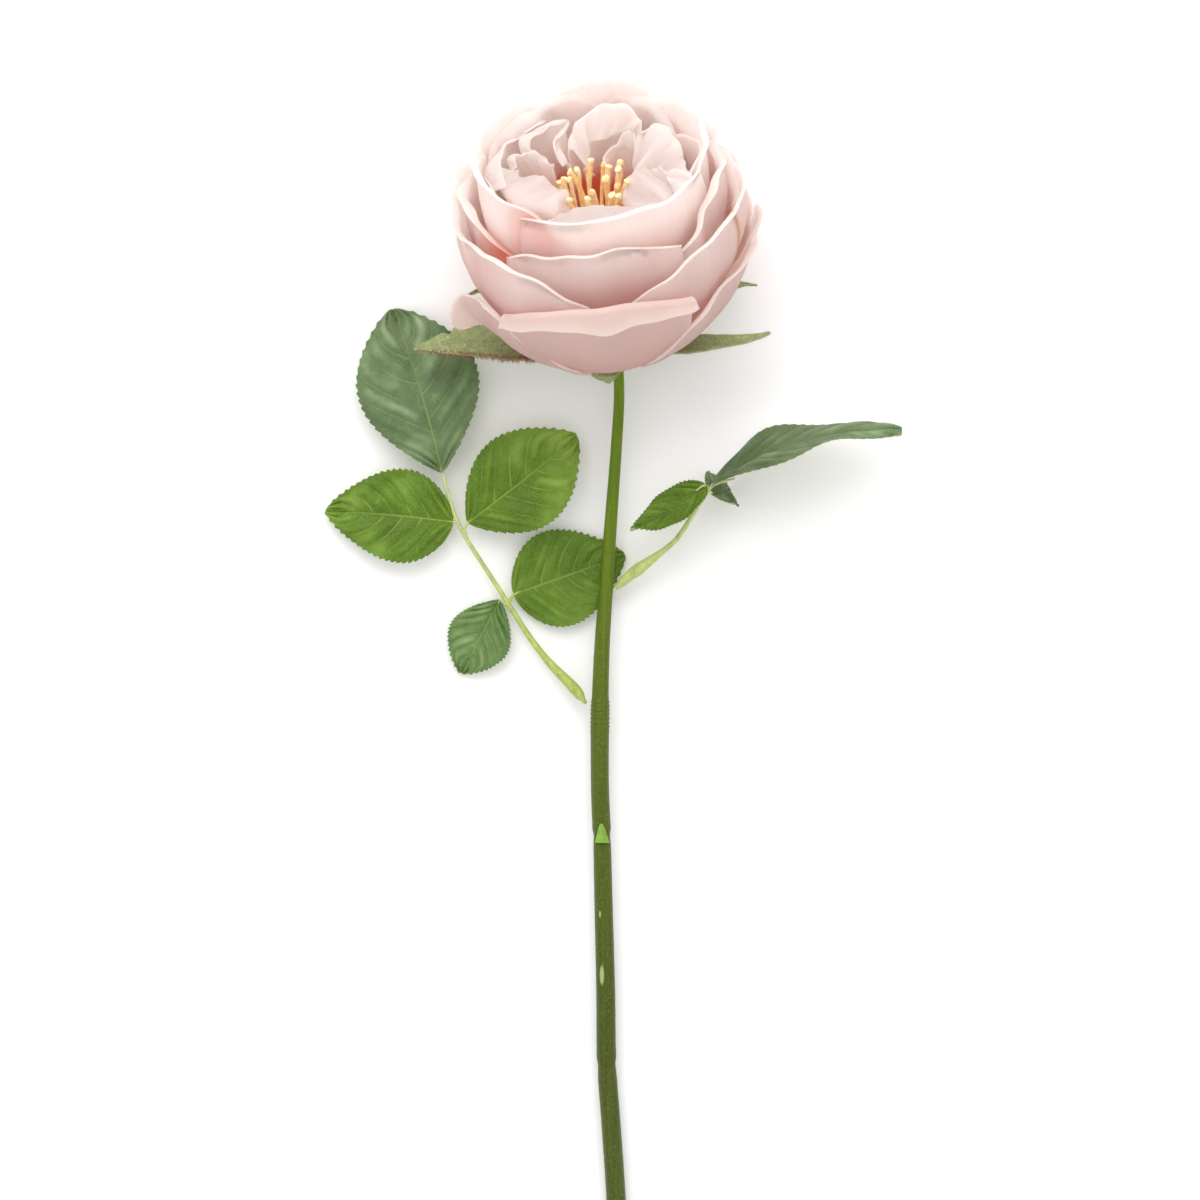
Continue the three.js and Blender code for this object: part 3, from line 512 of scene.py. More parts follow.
print("petals")
outerPetalMaterial = petalMaterial("velvetPetalOuter", petalFinish["frontStops"], petalFinish["backStops"])
# the deep coral at the foot of these ramps is partly painted shade and glow of light caught inside the flower
innerPetalMaterial = petalMaterial("velvetPetalInner",
    [(0.0, "#ff9c7b"), (0.14, "#ffb69d"), (0.28, "#fee6dd"), (0.5, "#fef5f1"), (1.0, "#fefaf9")],
    [(0.0, "#ff946c"), (0.14, "#ffaf93"), (0.28, "#fee2d7"), (0.5, "#fef4f0"), (1.0, "#fefaf8")])
guardPetalMaterial = petalMaterial("velvetPetalGuard",
    [(0.0, "#f0d2c7"), (0.4, "#f4e0d9"), (0.75, "#f6e8e3"), (1.0, "#f8efeb")],
    [(0.0, "#f4b39c"), (0.5, "#f2d0c6"), (0.8, "#efdad3"), (1.0, "#f3e4df")])
rowMaterials = {"guard": guardPetalMaterial, "inner": innerPetalMaterial}
petalCounts = {}
for seed, petal in enumerate(petals):
    petalCounts[petal["row"]] = petalCounts.get(petal["row"], 0) + 1
    node = f"{petal['row']}_petal_{petalCounts[petal['row']]}"
    across, along, grid = petalGrid(petal, seed)
    facts = petalFacts(across, along, grid, flower["lipStart"])
    if "coveredShade" in petal:
        # painted shade: deeper colour where its neighbour covers the petal
        facts["petalAlong"] = facts["petalAlong"] - petal["coveredShade"] * smoothStep(0.2, 0.8, across)
    if "stain" in petal:
        middle, width = petal["stain"]
        streak = np.exp(-((across - middle - 0.04 * ripple(seed, along, (1.5, 3.1))) / width) ** 2)
        facts["stain"] = 0.75 * streak * smoothStep(0.2, 0.5, along) * smoothStep(1, 0.85, along)
    thickness = petalSizes["thickness"] * (1 + 0.3 * smoothStep(3, 0, facts["rimGap"]))
    mesh = sheetMesh(node, fromFlower(grid), thickness, facts)
    piece = showPiece("fine_" + node, mesh, rowMaterials.get(petal["row"], outerPetalMaterial))
    handOver(piece, node)
for seed, petal in enumerate(foldedPetals):
    across, along, grid = foldedGrid(petal, 200 + seed)
    facts = petalFacts(across, along, grid, 1)
    # deep inside the flower the colour is stronger: partly the petals' own deeper colour low down, partly
    # painted shade and glow of light caught between the petals
    outOfDepth = np.clip((grid[..., 2] - foldedSizes["deepHeight"]) / foldedSizes["paleRise"], 0, 1)
    facts["petalAlong"] = 0.25 * along + 0.75 * outOfDepth
    thickness = petalSizes["thickness"] * (1 + 0.3 * smoothStep(3, 0, facts["rimGap"]))
    mesh = sheetMesh(petal["node"], fromFlower(grid), thickness, facts)
    handOver(showPiece("fine_" + petal["node"], mesh, innerPetalMaterial), petal["node"])


# tubes and down, grown with Geometry Nodes

def startTree(name, inputs):
    tree = bpy.data.node_groups.new(name, "GeometryNodeTree")
    tree.interface.new_socket("Geometry", in_out="INPUT", socket_type="NodeSocketGeometry")
    for label, kind in inputs:
        tree.interface.new_socket(label, in_out="INPUT", socket_type="NodeSocket" + kind)
    tree.interface.new_socket("Geometry", in_out="OUTPUT", socket_type="NodeSocketGeometry")
    return tree, partial(addNode, tree), addNode(tree, "NodeGroupInput")


def growPiece(name, mesh, tree, values):
    source = bpy.data.objects.new(name + "_source", mesh)
    bpy.context.scene.collection.objects.link(source)
    modifier = source.modifiers.new("grow", "NODES")
    modifier.node_group = tree
    for item in tree.interface.items_tree:
        if item.in_out == "INPUT" and item.name in values:
            modifier[item.identifier] = values[item.name]
    source.update_tag()
    grown = bpy.data.meshes.new_from_object(source.evaluated_get(bpy.context.evaluated_depsgraph_get()))
    source.modifiers.remove(modifier)
    bpy.data.objects.remove(source)
    grown.name = name
    return showPiece(name, grown)


def tubeTree():
    # a tube along each path, as thick as the path's own numbers say, with shallow ribs along it
    tree, add, given = startTree("tubeAlongPath", [("Sides", "Int"), ("Ribs", "Float"),
        ("Rib Depth", "Float"), ("Roughness", "Float"), ("Finish", "Material")])
    curve = add("GeometryNodeMeshToCurve", {"Mesh": given["Geometry"]})[0]
    circle = add("GeometryNodeCurvePrimitiveCircle", {"Resolution": given["Sides"], "Radius": 1.0})[0]
    index = add("GeometryNodeInputIndex")[0]
    share = add("ShaderNodeMath", {0: index, 1: given["Sides"]}, operation="DIVIDE")[0]
    turn = add("ShaderNodeMath", {0: share, 1: 2 * math.pi}, operation="MULTIPLY")[0]
    ribTurn = add("ShaderNodeMath", {0: turn, 1: given["Ribs"]}, operation="MULTIPLY")[0]
    wave = add("ShaderNodeMath", {0: ribTurn}, operation="SINE")[0]
    swell = add("ShaderNodeMath", {0: wave, 1: given["Rib Depth"], 2: 1.0}, operation="MULTIPLY_ADD")[0]
    position = add("GeometryNodeInputPosition")[0]
    ribbed = add("ShaderNodeVectorMath", {0: position, "Scale": swell}, operation="SCALE")[0]
    profile = add("GeometryNodeSetPosition", {"Geometry": circle, "Position": ribbed})[0]
    thickness = add("GeometryNodeInputNamedAttribute", {"Name": "thickness"}, data_type="FLOAT")["Attribute"]
    tube = add("GeometryNodeCurveToMesh", {"Curve": curve, "Profile Curve": profile, "Scale": thickness,
        "Fill Caps": True})[0]
    lumps = add("ShaderNodeTexNoise", {"Scale": 900.0, "Detail": 2.0})["Fac"]
    centred = add("ShaderNodeMath", {0: lumps, 1: 0.5}, operation="SUBTRACT")[0]
    deep = add("ShaderNodeMath", {0: centred, 1: given["Roughness"]}, operation="MULTIPLY")[0]
    normal = add("GeometryNodeInputNormal")[0]
    push = add("ShaderNodeVectorMath", {0: normal, "Scale": deep}, operation="SCALE")[0]
    lumpy = add("GeometryNodeSetPosition", {"Geometry": tube, "Offset": push})[0]
    plain = add("GeometryNodeRealizeInstances", {"Geometry": lumpy})[0]
    done = add("GeometryNodeSetMaterial", {"Geometry": plain, "Material": given["Finish"]})[0]
    add("NodeGroupOutput", {"Geometry": done})
    return tree


def downTree():
    # short hairs on a sheet, thicker set where the number that Where names is high
    tree, add, given = startTree("downOnSurface", [("Density", "Float"), ("Length", "Float"),
        ("Thickness", "Float"), ("Seed", "Int"), ("Where", "String"), ("Finish", "Material")])
    hairy = add("GeometryNodeInputNamedAttribute", {"Name": given["Where"]}, data_type="FLOAT")["Attribute"]
    density = add("ShaderNodeMath", {0: hairy, 1: given["Density"]}, operation="MULTIPLY")[0]
    spots = add("GeometryNodeDistributePointsOnFaces", {"Mesh": given["Geometry"], "Density": density,
        "Seed": given["Seed"]})
    hair = add("GeometryNodeMeshCone", {"Vertices": 3, "Side Segments": 2, "Radius Top": 0.1,
        "Radius Bottom": 1.0, "Depth": 1.0})[0]
    lean = add("FunctionNodeRandomValue", {0: (-0.9, -0.9, -0.9), 1: (0.9, 0.9, 0.9),
        "Seed": given["Seed"]}, data_type="FLOAT_VECTOR")[0]
    way = add("ShaderNodeVectorMath", {0: spots["Normal"], 1: lean}, operation="ADD")[0]
    turn = add("FunctionNodeAlignRotationToVector", {"Vector": way}, axis="Z")[0]
    size = add("ShaderNodeCombineXYZ", {"X": given["Thickness"], "Y": given["Thickness"],
        "Z": given["Length"]})[0]
    hairs = add("GeometryNodeInstanceOnPoints", {"Points": spots["Points"], "Instance": hair,
        "Rotation": turn, "Scale": size})[0]
    plain = add("GeometryNodeRealizeInstances", {"Geometry": hairs})[0]
    done = add("GeometryNodeSetMaterial", {"Geometry": plain, "Material": given["Finish"]})[0]
    both = add("GeometryNodeJoinGeometry")[0].node
    tree.links.new(given["Geometry"], both.inputs[0])
    tree.links.new(done, both.inputs[0])
    add("NodeGroupOutput", {"Geometry": both.outputs[0]})
    return tree


def pathMesh(name, paths):
    # paths are (points in metres, thickness in metres)
    mesh = bpy.data.meshes.new(name)
    starts = np.cumsum([0] + [len(points) for points, _ in paths])
    edges = [(start + k, start + k + 1) for start, (points, _) in zip(starts, paths)
        for k in range(len(points) - 1)]
    mesh.from_pydata(np.concatenate([points for points, _ in paths]).tolist(), edges, [])
    widths = np.concatenate([np.broadcast_to(width, len(points)) for points, width in paths])
    keepNumbers(mesh, "thickness", widths)
    return mesh


tubes, down = tubeTree(), downTree()


def plantMaterial(name, stops, along, grain, roughness, spots, spotAmount, through=0.0):
    # Plant tissue, grown: a ramp along the frame's Y between two places, long fibres, and specks over them
    material, add = startMaterial(name)
    place = add("ShaderNodeTexCoord")["Object"]
    height = add("ShaderNodeSeparateXYZ", {"Vector": place})["Y"]
    share = add("ShaderNodeMapRange", {"Value": height, "From Min": along[0], "From Max": along[1]})[0]
    base = setRamp(add("ShaderNodeValToRGB", {"Fac": share}), stops)
    fibrePlace = add("ShaderNodeVectorMath", {0: place, 1: grain}, operation="MULTIPLY")[0]
    fibres = add("ShaderNodeTexNoise", {"Vector": fibrePlace, "Scale": 1.0, "Detail": 4.0})["Fac"]
    shade = add("ShaderNodeMapRange", {"Value": fibres, "From Min": 0.3, "From Max": 0.7, "To Min": -0.18,
        "To Max": 0.18})[0]
    value = add("ShaderNodeMath", {0: shade, 1: 1.0}, operation="ADD")[0]
    toned = add("ShaderNodeHueSaturation", {"Color": base, "Value": value})[0]
    specks = add("ShaderNodeTexNoise", {"Vector": place, "Scale": 1500.0, "Detail": 3.0})["Fac"]
    speckAmount = add("ShaderNodeMapRange", {"Value": specks, "From Min": 0.5, "From Max": 0.72,
        "To Max": spotAmount})[0]
    colour = add("ShaderNodeMix", {0: speckAmount, 6: toned, 7: toLinear(spots)}, data_type="RGBA")[2]
    bump = add("ShaderNodeBump", {"Strength": 0.4, "Distance": 0.0002, "Height": fibres})[0]
    rough = add("ShaderNodeMapRange", {"Value": fibres, "To Min": roughness - 0.08,
        "To Max": roughness + 0.1})[0]
    skin = add("ShaderNodeBsdfPrincipled", {"Base Color": colour, "Roughness": rough, "Normal": bump,
        "IOR": 1.3})[0]
    if through:
        inner = add("ShaderNodeBsdfTranslucent", {"Color": colour})[0]
        skin = add("ShaderNodeMixShader", {0: through, 1: skin, 2: inner})[0]
    add("ShaderNodeOutputMaterial", {"Surface": skin})
    return material


# stem

print("stem")
stemBottom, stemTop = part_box("stem")[0].y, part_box("stem")[1].y
# Green rose bark, grown: waxy skin over long fibres, fresher towards the flower.
stemMaterial = plantMaterial("waxyGreenBark", [(0.0, "#455212"), (0.35, "#3f4a0e"), (0.62, "#4b590c"),
    (0.85, "#5c7408"), (1.0, "#678208")], (stemBottom, stemTop), (900.0, 30.0, 900.0), 0.45, "#8c9a4c", 0.2)
stemSizes = {
    "neckRadius": 1.6, "hipLength": 9, "gap": 0.6, "samples": 900, "sides": 40,
    "route": [
        (12, 1.5, 0.76), (20.6, 1.6, 0.57), (36, 0.7, 0.45), (57.5, -0.9, 0.42), (76, -2.2, 0.41),
        (97.5, -3.7, 0.38), (119, -4.3, 0.35), (140.6, -4.3, 0.31), (156, -3.7, 0.28), (180.6, -3.1, 0.23),
        (205, -2.5, 0.18), (226.8, -2.2, 0.14), (245, -0.9, 0.1), (266.8, 0.6, 0.06), (320, 3, 0)],
    "lowerJoint": 114.8, "upperJoint": 79.7, "firstWaist": 155.4, "secondWaist": 226.8,
}
raised, leaning = flower["raise"], flower["lean"]
axis = np.array([-math.sin(leaning) * math.cos(raised), math.cos(leaning) * math.cos(raised),
    math.sin(raised)])
neck = -axis * (stemSizes["hipLength"] + stemSizes["gap"]) + (0, 0, calyxHeight)
stemPoints = [neck] + [(sideways, -distance, stemEnd["radius"] + share * (neck[2] - stemEnd["radius"]))
    for distance, sideways, share in stemSizes["route"]]
stemLine = splinePoints(stemPoints, np.linspace(0, 1, 6001))


def stemPointAt(distance):
    return np.stack([np.interp(distance, -stemLine[:, 1], stemLine[:, k]) for k in range(3)], -1)


joint, waist1, waist2 = stemSizes["lowerJoint"], stemSizes["firstWaist"], stemSizes["secondWaist"]
radiusTable = [
    (-neck[1], stemSizes["neckRadius"]), (20, 1.65), (42, 1.8), (75, 2.1), (92, 2.35),
    (joint - 2, 2.6), (joint - 0.5, 2.9), (joint + 8, 2.95), (joint + 10, 2.85), (joint + 22, 2.8),
    (waist1 - 4, 2.85), (waist1 - 1.6, 2.95), (waist1 - 0.4, 2.5), (waist1, 2.42), (waist1 + 0.6, 2.55),
    (waist1 + 3, 2.75), (180, 2.85), (205, 2.95), (waist2 - 5, 3.0), (waist2 - 1.8, 3.1),
    (waist2 - 0.5, 2.7), (waist2, 2.62), (waist2 + 0.7, 2.75), (waist2 + 4, 2.95),
    (stemEnd["distance"], stemEnd["radius"])]
distances = np.linspace(-neck[1], stemEnd["distance"], stemSizes["samples"])
radii = np.interp(distances, *zip(*radiusTable))
softened = np.convolve(np.pad(radii, 3, mode="edge"), np.ones(7) / 7, mode="valid")
collar = smoothStep(joint - 2.5, joint - 0.5, distances) * smoothStep(joint + 9, joint + 6, distances)
wrinkles = 0.13 * np.sin(2 * math.pi * (distances - joint) / 1.3)
wrinkles = wrinkles + 0.08 * np.sin(2 * math.pi * distances / 0.83)
softened = softened + collar * wrinkles
stem = growPiece("fine_stem", pathMesh("stemPath", [(fromCalyx(stemPointAt(distances)), softened / 1000)]),
    tubes, {"Sides": stemSizes["sides"], "Ribs": 5.0, "Rib Depth": 0.025, "Roughness": 0.0001,
    "Finish": stemMaterial})
# Two pale almond marks lie on the stem's upper side:
# (distance, sideways, half length, half width)
paleAlmonds = [(199, -1.1, 3.4, 0.75), (180, -1.2, 1.15, 0.35)]
tree = stemMaterial.node_tree
add = partial(addNode, tree)
skin = next(node for node in tree.nodes if node.type == "BSDF_PRINCIPLED")
place = add("ShaderNodeTexCoord")["Object"]
for distance, sideways, halfLength, halfWidth in paleAlmonds:
    spot = fromCalyx(stemPointAt(distance)) + np.array([sideways, 0, 0]) / 1000
    across = add("ShaderNodeVectorMath", {0: place, 1: tuple(spot)}, operation="SUBTRACT")[0]
    scaled = add("ShaderNodeVectorMath", {0: across, 1: (1000 / halfWidth, 1000 / halfLength, 0)},
        operation="MULTIPLY")[0]
    far = add("ShaderNodeVectorMath", {0: scaled}, operation="LENGTH")["Value"]
    amount = add("ShaderNodeMapRange", {"Value": far, "From Min": 0.6, "From Max": 1.1, "To Min": 0.75,
        "To Max": 0.0}, interpolation_type="SMOOTHSTEP")[0]
    before = skin.inputs["Base Color"].links[0].from_socket
    almondTinted = add("ShaderNodeMix", {0: amount, 6: before, 7: toLinear("#a6bd78")}, data_type="RGBA")[2]
    tree.links.new(almondTinted, skin.inputs["Base Color"])
# Pith, cut: pale and fibrous, at the cut end
pithMaterial = plantMaterial("cutPith", [(0.0, "#c9cf9c"), (1.0, "#c9cf9c")], (0, 1),
    (1500.0, 1500.0, 1500.0), 0.8, "#8f9a58", 0.5)
stem.data.materials.append(pithMaterial)
for face in stem.data.polygons:
    if len(face.vertices) > 4:
        face.use_smooth = False
        if face.center.y < stemBottom + 0.001:
            face.material_index = 1
handOver(stem, "stem")


# leaf stalks, with a short side stalk to each leaflet

print("leaves")
lowerJoint, upperJoint = stemPointAt(stemSizes["lowerJoint"]), stemPointAt(stemSizes["upperJoint"])
stalkSizes = {"sides": 20, "mainPoints": 160, "sidePoints": 30, "sideRadii": (0.62, 0.3)}
stalks = {
    "lower_leaf_stalk": {
        "joint": lowerJoint,
        "route": [(-4.5, 0.4, 0), (-8, 5, -0.6), (-15.4, 12.6, -2), (-21.5, 20.3, -3), (-27.1, 29, -3.2),
                  (-35.4, 41.9, -2.2), (-43.1, 54.2, -0.6), (-46.8, 63.4, 0.2), (-49, 71.5, 0.4)],
        "radii": [(0, 0.55), (0.03, 0.75), (0.07, 1.5), (0.13, 1.75), (0.3, 1.05), (0.5, 0.75), (1, 0.55)],
        "branches": [[(-28.6, 31.4, -3.2), (-27.9, 33, -3.4), (-26, 35, -3.7), (-22, 36.8, -4)],
                     [(-27.6, 29.8, -3.2), (-30, 31.6, -3.3), (-31.8, 32, -3.5), (-33.2, 29.4, -3.8)],
                     [(-42, 52.4, -0.9), (-42.3, 55, -0.7), (-41, 57.1, -0.7), (-38.5, 59.2, -0.6)],
                     [(-43.3, 54.6, -0.6), (-44.3, 56.6, -0.7), (-46, 57.1, -0.9), (-50, 57.3, -1.4)]],
    },
    "upper_leaf_stalk": {
        "joint": upperJoint,
        "route": [(3, 1.3, 0), (7, 4.8, 1), (11.7, 8.3, 2.4), (17.9, 12.9, 4.5), (21.9, 16.5, 6),
                  (28.7, 26.8, 8.6), (31.6, 31.4, 9.6)],
        "radii": [(0, 0.8), (0.1, 1.5), (0.28, 1.95), (0.5, 0.9), (0.9, 0.65), (1, 0.6)],
        "branches": [[(31.2, 30.8, 9.5), (31.5, 32.4, 10.2), (30.4, 33, 10.8), (28, 31.4, 11.2)],
                     [(31.4, 31, 9.6), (32.4, 31, 9), (33, 30.8, 7), (34, 30.8, 4.6)],
                     [(31.4, 31, 9.6), (33, 33, 10.2), (36, 34.2, 10.6), (40, 35.2, 11)]],
    },
}
# Leaf stalk, grown: pale yellow-green, slightly shiny, with fine fibres.
stalkMaterial = plantMaterial("paleLeafStalk", [(0.0, "#a3b552"), (0.5, "#b4c46c"), (1.0, "#c5cf92")],
    (fromCalyx(lowerJoint)[1], fromCalyx(lowerJoint)[1] + 0.07), (500.0, 160.0, 500.0), 0.45, "#dfe5b8",
    0.4, 0.1)
for node, stalk in stalks.items():
    places = np.linspace(0, 1, stalkSizes["mainPoints"])
    main = fromCalyx(splinePoints(stalk["route"], places) + stalk["joint"])
    paths = [(main, np.interp(places, *zip(*stalk["radii"])) / 1000)]
    for branch in stalk["branches"]:
        places = np.linspace(0, 1, stalkSizes["sidePoints"])
        side = fromCalyx(splinePoints(branch, places) + stalk["joint"])
        paths.append((side, np.linspace(*stalkSizes["sideRadii"], len(places)) / 1000))
    piece = growPiece("fine_" + node, pathMesh(node, paths), tubes,
        {"Sides": stalkSizes["sides"], "Ribs": 3.0, "Rib Depth": 0.06, "Roughness": 0.00008,
        "Finish": stalkMaterial})
    handOver(piece, node)


# leaflets

leafSizes = {"thickness": 0.34, "columns": 84, "teeth": 22, "toothReach": 0.95, "veinPairs": 6, "quilt": 0.9}
leaflets = [
    {"node": "lower_leaflet_tip", "joint": lowerJoint, "base": (-49.3, 72.2, 0.4), "tip": (-65, 123.8, -3),
     "half": 19, "fold": 2, "arch": 1.5, "sway": 1, "shape": 1.1, "tone": "dark"},
    {"node": "lower_leaflet_left", "joint": lowerJoint, "base": (-45.7, 57, -0.6), "tip": (-86, 60.5, -4),
     "half": 14.4, "fold": 1.5, "arch": 2, "sway": 0.5, "tone": "bright"},
    {"node": "lower_leaflet_right", "joint": lowerJoint, "base": (-41.4, 56.8, -0.5), "tip": (-7, 84, 0),
     "half": 15.6, "fold": 2, "arch": 3, "sway": 0.5, "shape": 0.95, "tone": "bright", "tipHighlight": 0.9},
    {"node": "lower_leaflet_under", "joint": lowerJoint, "base": (-27.2, 34.4, -3.4), "tip": (8, 46.8, -4.6),
     "half": 15.2, "fold": 0.8, "arch": 0.2, "tone": "deep"},
    {"node": "lower_leaflet_small", "joint": lowerJoint, "base": (-31.4, 32.8, -3.3), "tip": (-43.5, 9.7, -5),
     "half": 9.8, "fold": 1, "arch": 1.5, "shape": 1.05, "tone": "small"},
    {"node": "upper_leaflet_tip", "joint": upperJoint, "base": (32.4, 32.6, 10), "tip": (92.4, 49.5, 12),
     "face": (-0.25, 0.9, 0.34), "half": 13.5, "fold": 2, "arch": 6, "ripple": 1.6, "tone": "dark"},
    {"node": "upper_leaflet_side", "joint": upperJoint, "base": (31.3, 33.2, 10.8), "tip": (7.5, 19.2, 14),
     "face": (-0.35, 0.75, 0.56), "half": 8.8, "fold": 2, "arch": -2, "tone": "bright"},
    {"node": "upper_leaflet_low", "joint": upperJoint, "base": (32.4, 30.6, 8), "tip": (38.5, 31, -6),
     "face": (0.7, 0.65, 0.2), "half": 7, "fold": 1.5, "arch": 1, "tone": "dark"},
]
# each tone's upper skin from its dark hollows to its light crests, which is painted shade and painted
# highlight on the quilting; puff sets how strong they are
leafTones = {
    "bright": {"upper": ["#41600c", "#5c7e14", "#8dac48"], "vein": "#a8bf58", "under": "#a9b97c",
               "puff": 0.3, "gloss": 0.45},
    "deep": {"upper": ["#40600a", "#5b7c16", "#82a244"], "vein": "#9db650", "under": "#9fb070",
             "puff": 0.2, "gloss": 0.45},
    "small": {"upper": ["#42602a", "#628248", "#93ad74"], "vein": "#a9bf66", "under": "#9fb070",
              "puff": 0.3, "gloss": 0.4},
    "dark": {"upper": ["#42583a", "#667d54", "#a2b692"], "vein": "#9fb45c", "under": "#a8b284",
             "puff": 0.38, "gloss": 0.32},
}


def leafMaterial(name, tone):
    # Rose leaf, grown: waxy upper skin pressed in over pale veins, with a fine net between them, matte below.
    # Its quilted hollows carry painted shade, and its crests and tip a painted highlight.
    material, add = startMaterial(name)
    facts = {label: add("ShaderNodeAttribute", attribute_name=label)["Fac"]
        for label in ("leafSideways", "leafLengthways", "vein", "quilt", "frontSide")}
    place = add("ShaderNodeTexCoord")["Object"]
    flat = add("ShaderNodeCombineXYZ", {"X": facts["leafSideways"], "Y": facts["leafLengthways"]})[0]
    cloud = add("ShaderNodeTexNoise", {"Vector": place, "Scale": 90.0, "Detail": 4.0})["Fac"]
    # painted shade and highlight: the quilting's crests are painted lighter and its hollows darker
    quiltPaintedShade = add("ShaderNodeMath", {0: facts["quilt"], 1: tone["puff"], 2: cloud}, operation="MULTIPLY_ADD")[0]
    shifted = add("ShaderNodeMath", {0: quiltPaintedShade, 1: tone["puff"] / 2}, operation="SUBTRACT")[0]
    low, mid, high = tone["upper"]
    green = setRamp(add("ShaderNodeValToRGB", {"Fac": shifted}), [(0.1, low), (0.45, mid), (0.85, high)])
    # the net of fine veins is about 1.1 mm across a mesh
    cells = add("ShaderNodeTexVoronoi", {"Vector": flat, "Scale": 0.9}, feature="DISTANCE_TO_EDGE")
    net = add("ShaderNodeMapRange", {"Value": cells["Distance"], "From Min": 0.0, "From Max": 0.1,
        "To Min": 0.2, "To Max": 0.0})[0]
    specks = add("ShaderNodeTexNoise", {"Vector": place, "Scale": 2600.0, "Detail": 2.0})["Fac"]
    speckAmount = add("ShaderNodeMapRange", {"Value": specks, "From Min": 0.6, "From Max": 0.76,
        "To Max": 0.35})[0]
    pale = add("ShaderNodeMath", {0: net, 1: speckAmount}, operation="MAXIMUM")[0]
    veinWeight = add("ShaderNodeMath", {0: pale, 1: facts["vein"]}, operation="MAXIMUM", use_clamp=True)[0]
    upper = add("ShaderNodeMix", {0: veinWeight, 6: green, 7: toLinear(tone["vein"])}, data_type="RGBA")[2]
    under = add("ShaderNodeMix", {0: veinWeight, 6: toLinear(tone["under"]), 7: toLinear("#cdd6a4")},
        data_type="RGBA")[2]
    colour = add("ShaderNodeMix", {0: facts["frontSide"], 6: under, 7: upper}, data_type="RGBA")[2]
    netRelief = add("ShaderNodeMath", {0: net, 1: -1.5, 2: specks}, operation="MULTIPLY_ADD")[0]
    bump = add("ShaderNodeBump", {"Strength": 0.5, "Distance": 0.0003, "Height": netRelief})[0]
    rough = add("ShaderNodeMapRange", {"Value": facts["frontSide"], "To Min": 0.75,
        "To Max": tone["gloss"]})[0]
    skin = add("ShaderNodeBsdfPrincipled", {"Base Color": colour, "Roughness": rough, "Normal": bump,
        "IOR": 1.36})[0]
    through = add("ShaderNodeBsdfTranslucent", {"Color": colour})[0]
    both = add("ShaderNodeMixShader", {0: 0.15, 1: skin, 2: through})[0]
    add("ShaderNodeOutputMaterial", {"Surface": both})
    return material


def leafletGrid(leaf, seed):
    base, tip = (np.array(leaf[key], float) + leaf["joint"] for key in ("base", "tip"))
    lengthwise = tip - base
    face = np.array(leaf.get("face", (0, 0, 1)), float)
    sideways = np.cross(lengthwise, face)
    sideways /= np.linalg.norm(sideways)
    upwards = np.cross(sideways, lengthwise)
    upwards /= np.linalg.norm(upwards)
    length = np.linalg.norm(lengthwise)
    across, along = gridPlaces(leafSizes["columns"], leafSizes["teeth"] * 7)
    side = np.abs(across)
    place = 0.004 + 0.988 * along
    outline = np.sin(math.pi * place ** leaf.get("shape", 0.75)) ** 0.8
    bow = 4 * place * (1 - place)
    rise = leaf["arch"] * bow + leaf["fold"] * side * outline
    waves = leaf.get("ripple", 0) * across ** 2 * np.sin(9 * place + 1.5 * across) * outline
    # teeth point to the tip: each grows slowly and breaks off at once
    jitter = ripple(seed, place, (3, 7, 11))
    saw = (leafSizes["teeth"] * (place + 0.004 * jitter)) % 1
    tooth = np.where(saw < 0.72, saw / 0.72, (1 - saw) / 0.28) - 0.35
    margin = smoothStep(0.86, 1, side) * smoothStep(0.02, 0.12, place) * smoothStep(1, 0.93, place)
    reach = leafSizes["toothReach"] * (0.75 + 0.25 * jitter) * tooth * margin
    # side veins run out and forward from the midrib
    flow = place - 0.3 * side ** 1.25 - 0.04 * np.sign(across) + 0.008 * jitter
    beat = flow * (leafSizes["veinPairs"] + 1)
    offVein = np.abs(beat - np.round(beat)) / (leafSizes["veinPairs"] + 1) * length
    sideVein = np.exp(-(offVein / 0.19) ** 2) * smoothStep(1.0, 0.75, side) * smoothStep(0.0, 0.06, side)
    midrib = np.exp(-(across * leaf["half"] * outline / (0.27 * (1.3 - place))) ** 2)
    fade = np.clip(0.75 + 0.5 * ripple(seed + 3, 3 * along + 2 * across, (1.3, 2.7, 4.9)), 0.15, 1)
    vein = np.maximum(sideVein * fade * (1 - 0.35 * side), 0.85 * midrib)
    puff = 0.6 + 0.4 * ripple(seed + 8, beat + across, (0.7, 1.3))
    quilt = np.sin(math.pi * beat) ** 2 * puff * smoothStep(0.03, 0.3, side) * smoothStep(1.02, 0.7, side)
    soft = 1.1 * ripple(seed + 5, place + 0.6 * across, (1.3, 2.9, 5.3)) * side
    relief = leafSizes["quilt"] * quilt - 0.4 * midrib - 0.18 * sideVein + soft
    sideReach = across * leaf["half"] * outline + leaf.get("sway", 0) * bow + np.sign(across) * reach
    grid = (base + place[..., None] * lengthwise + sideReach[..., None] * sideways
        + (rise + waves)[..., None] * upwards
        + (0.6 * np.abs(reach) * margin)[..., None] * lengthwise / length)
    grid = grid + (relief * smoothStep(0, 0.06, along))[..., None] * sheetNormals(grid)
    # painted light: lighter on the quilting's crests and towards the leaflet's tip
    light = quilt * smoothStep(0, 0.2, side) * 0.7 + leaf.get("tipHighlight", 0.3) * smoothStep(0.3, 1, place)
    facts = {"leafSideways": across * leaf["half"] * outline, "leafLengthways": place * length,
        "vein": vein, "quilt": light}
    return grid, facts


leafMaterials = {key: leafMaterial(key + "WaxyLeaf", tone) for key, tone in leafTones.items()}
for seed, leaf in enumerate(leaflets):
    grid, facts = leafletGrid(leaf, 400 + seed)
    mesh = sheetMesh(leaf["node"], fromCalyx(grid), leafSizes["thickness"], facts)
    piece = showPiece("fine_" + leaf["node"], mesh, leafMaterials[leaf["tone"]])
    handOver(piece, leaf["node"])

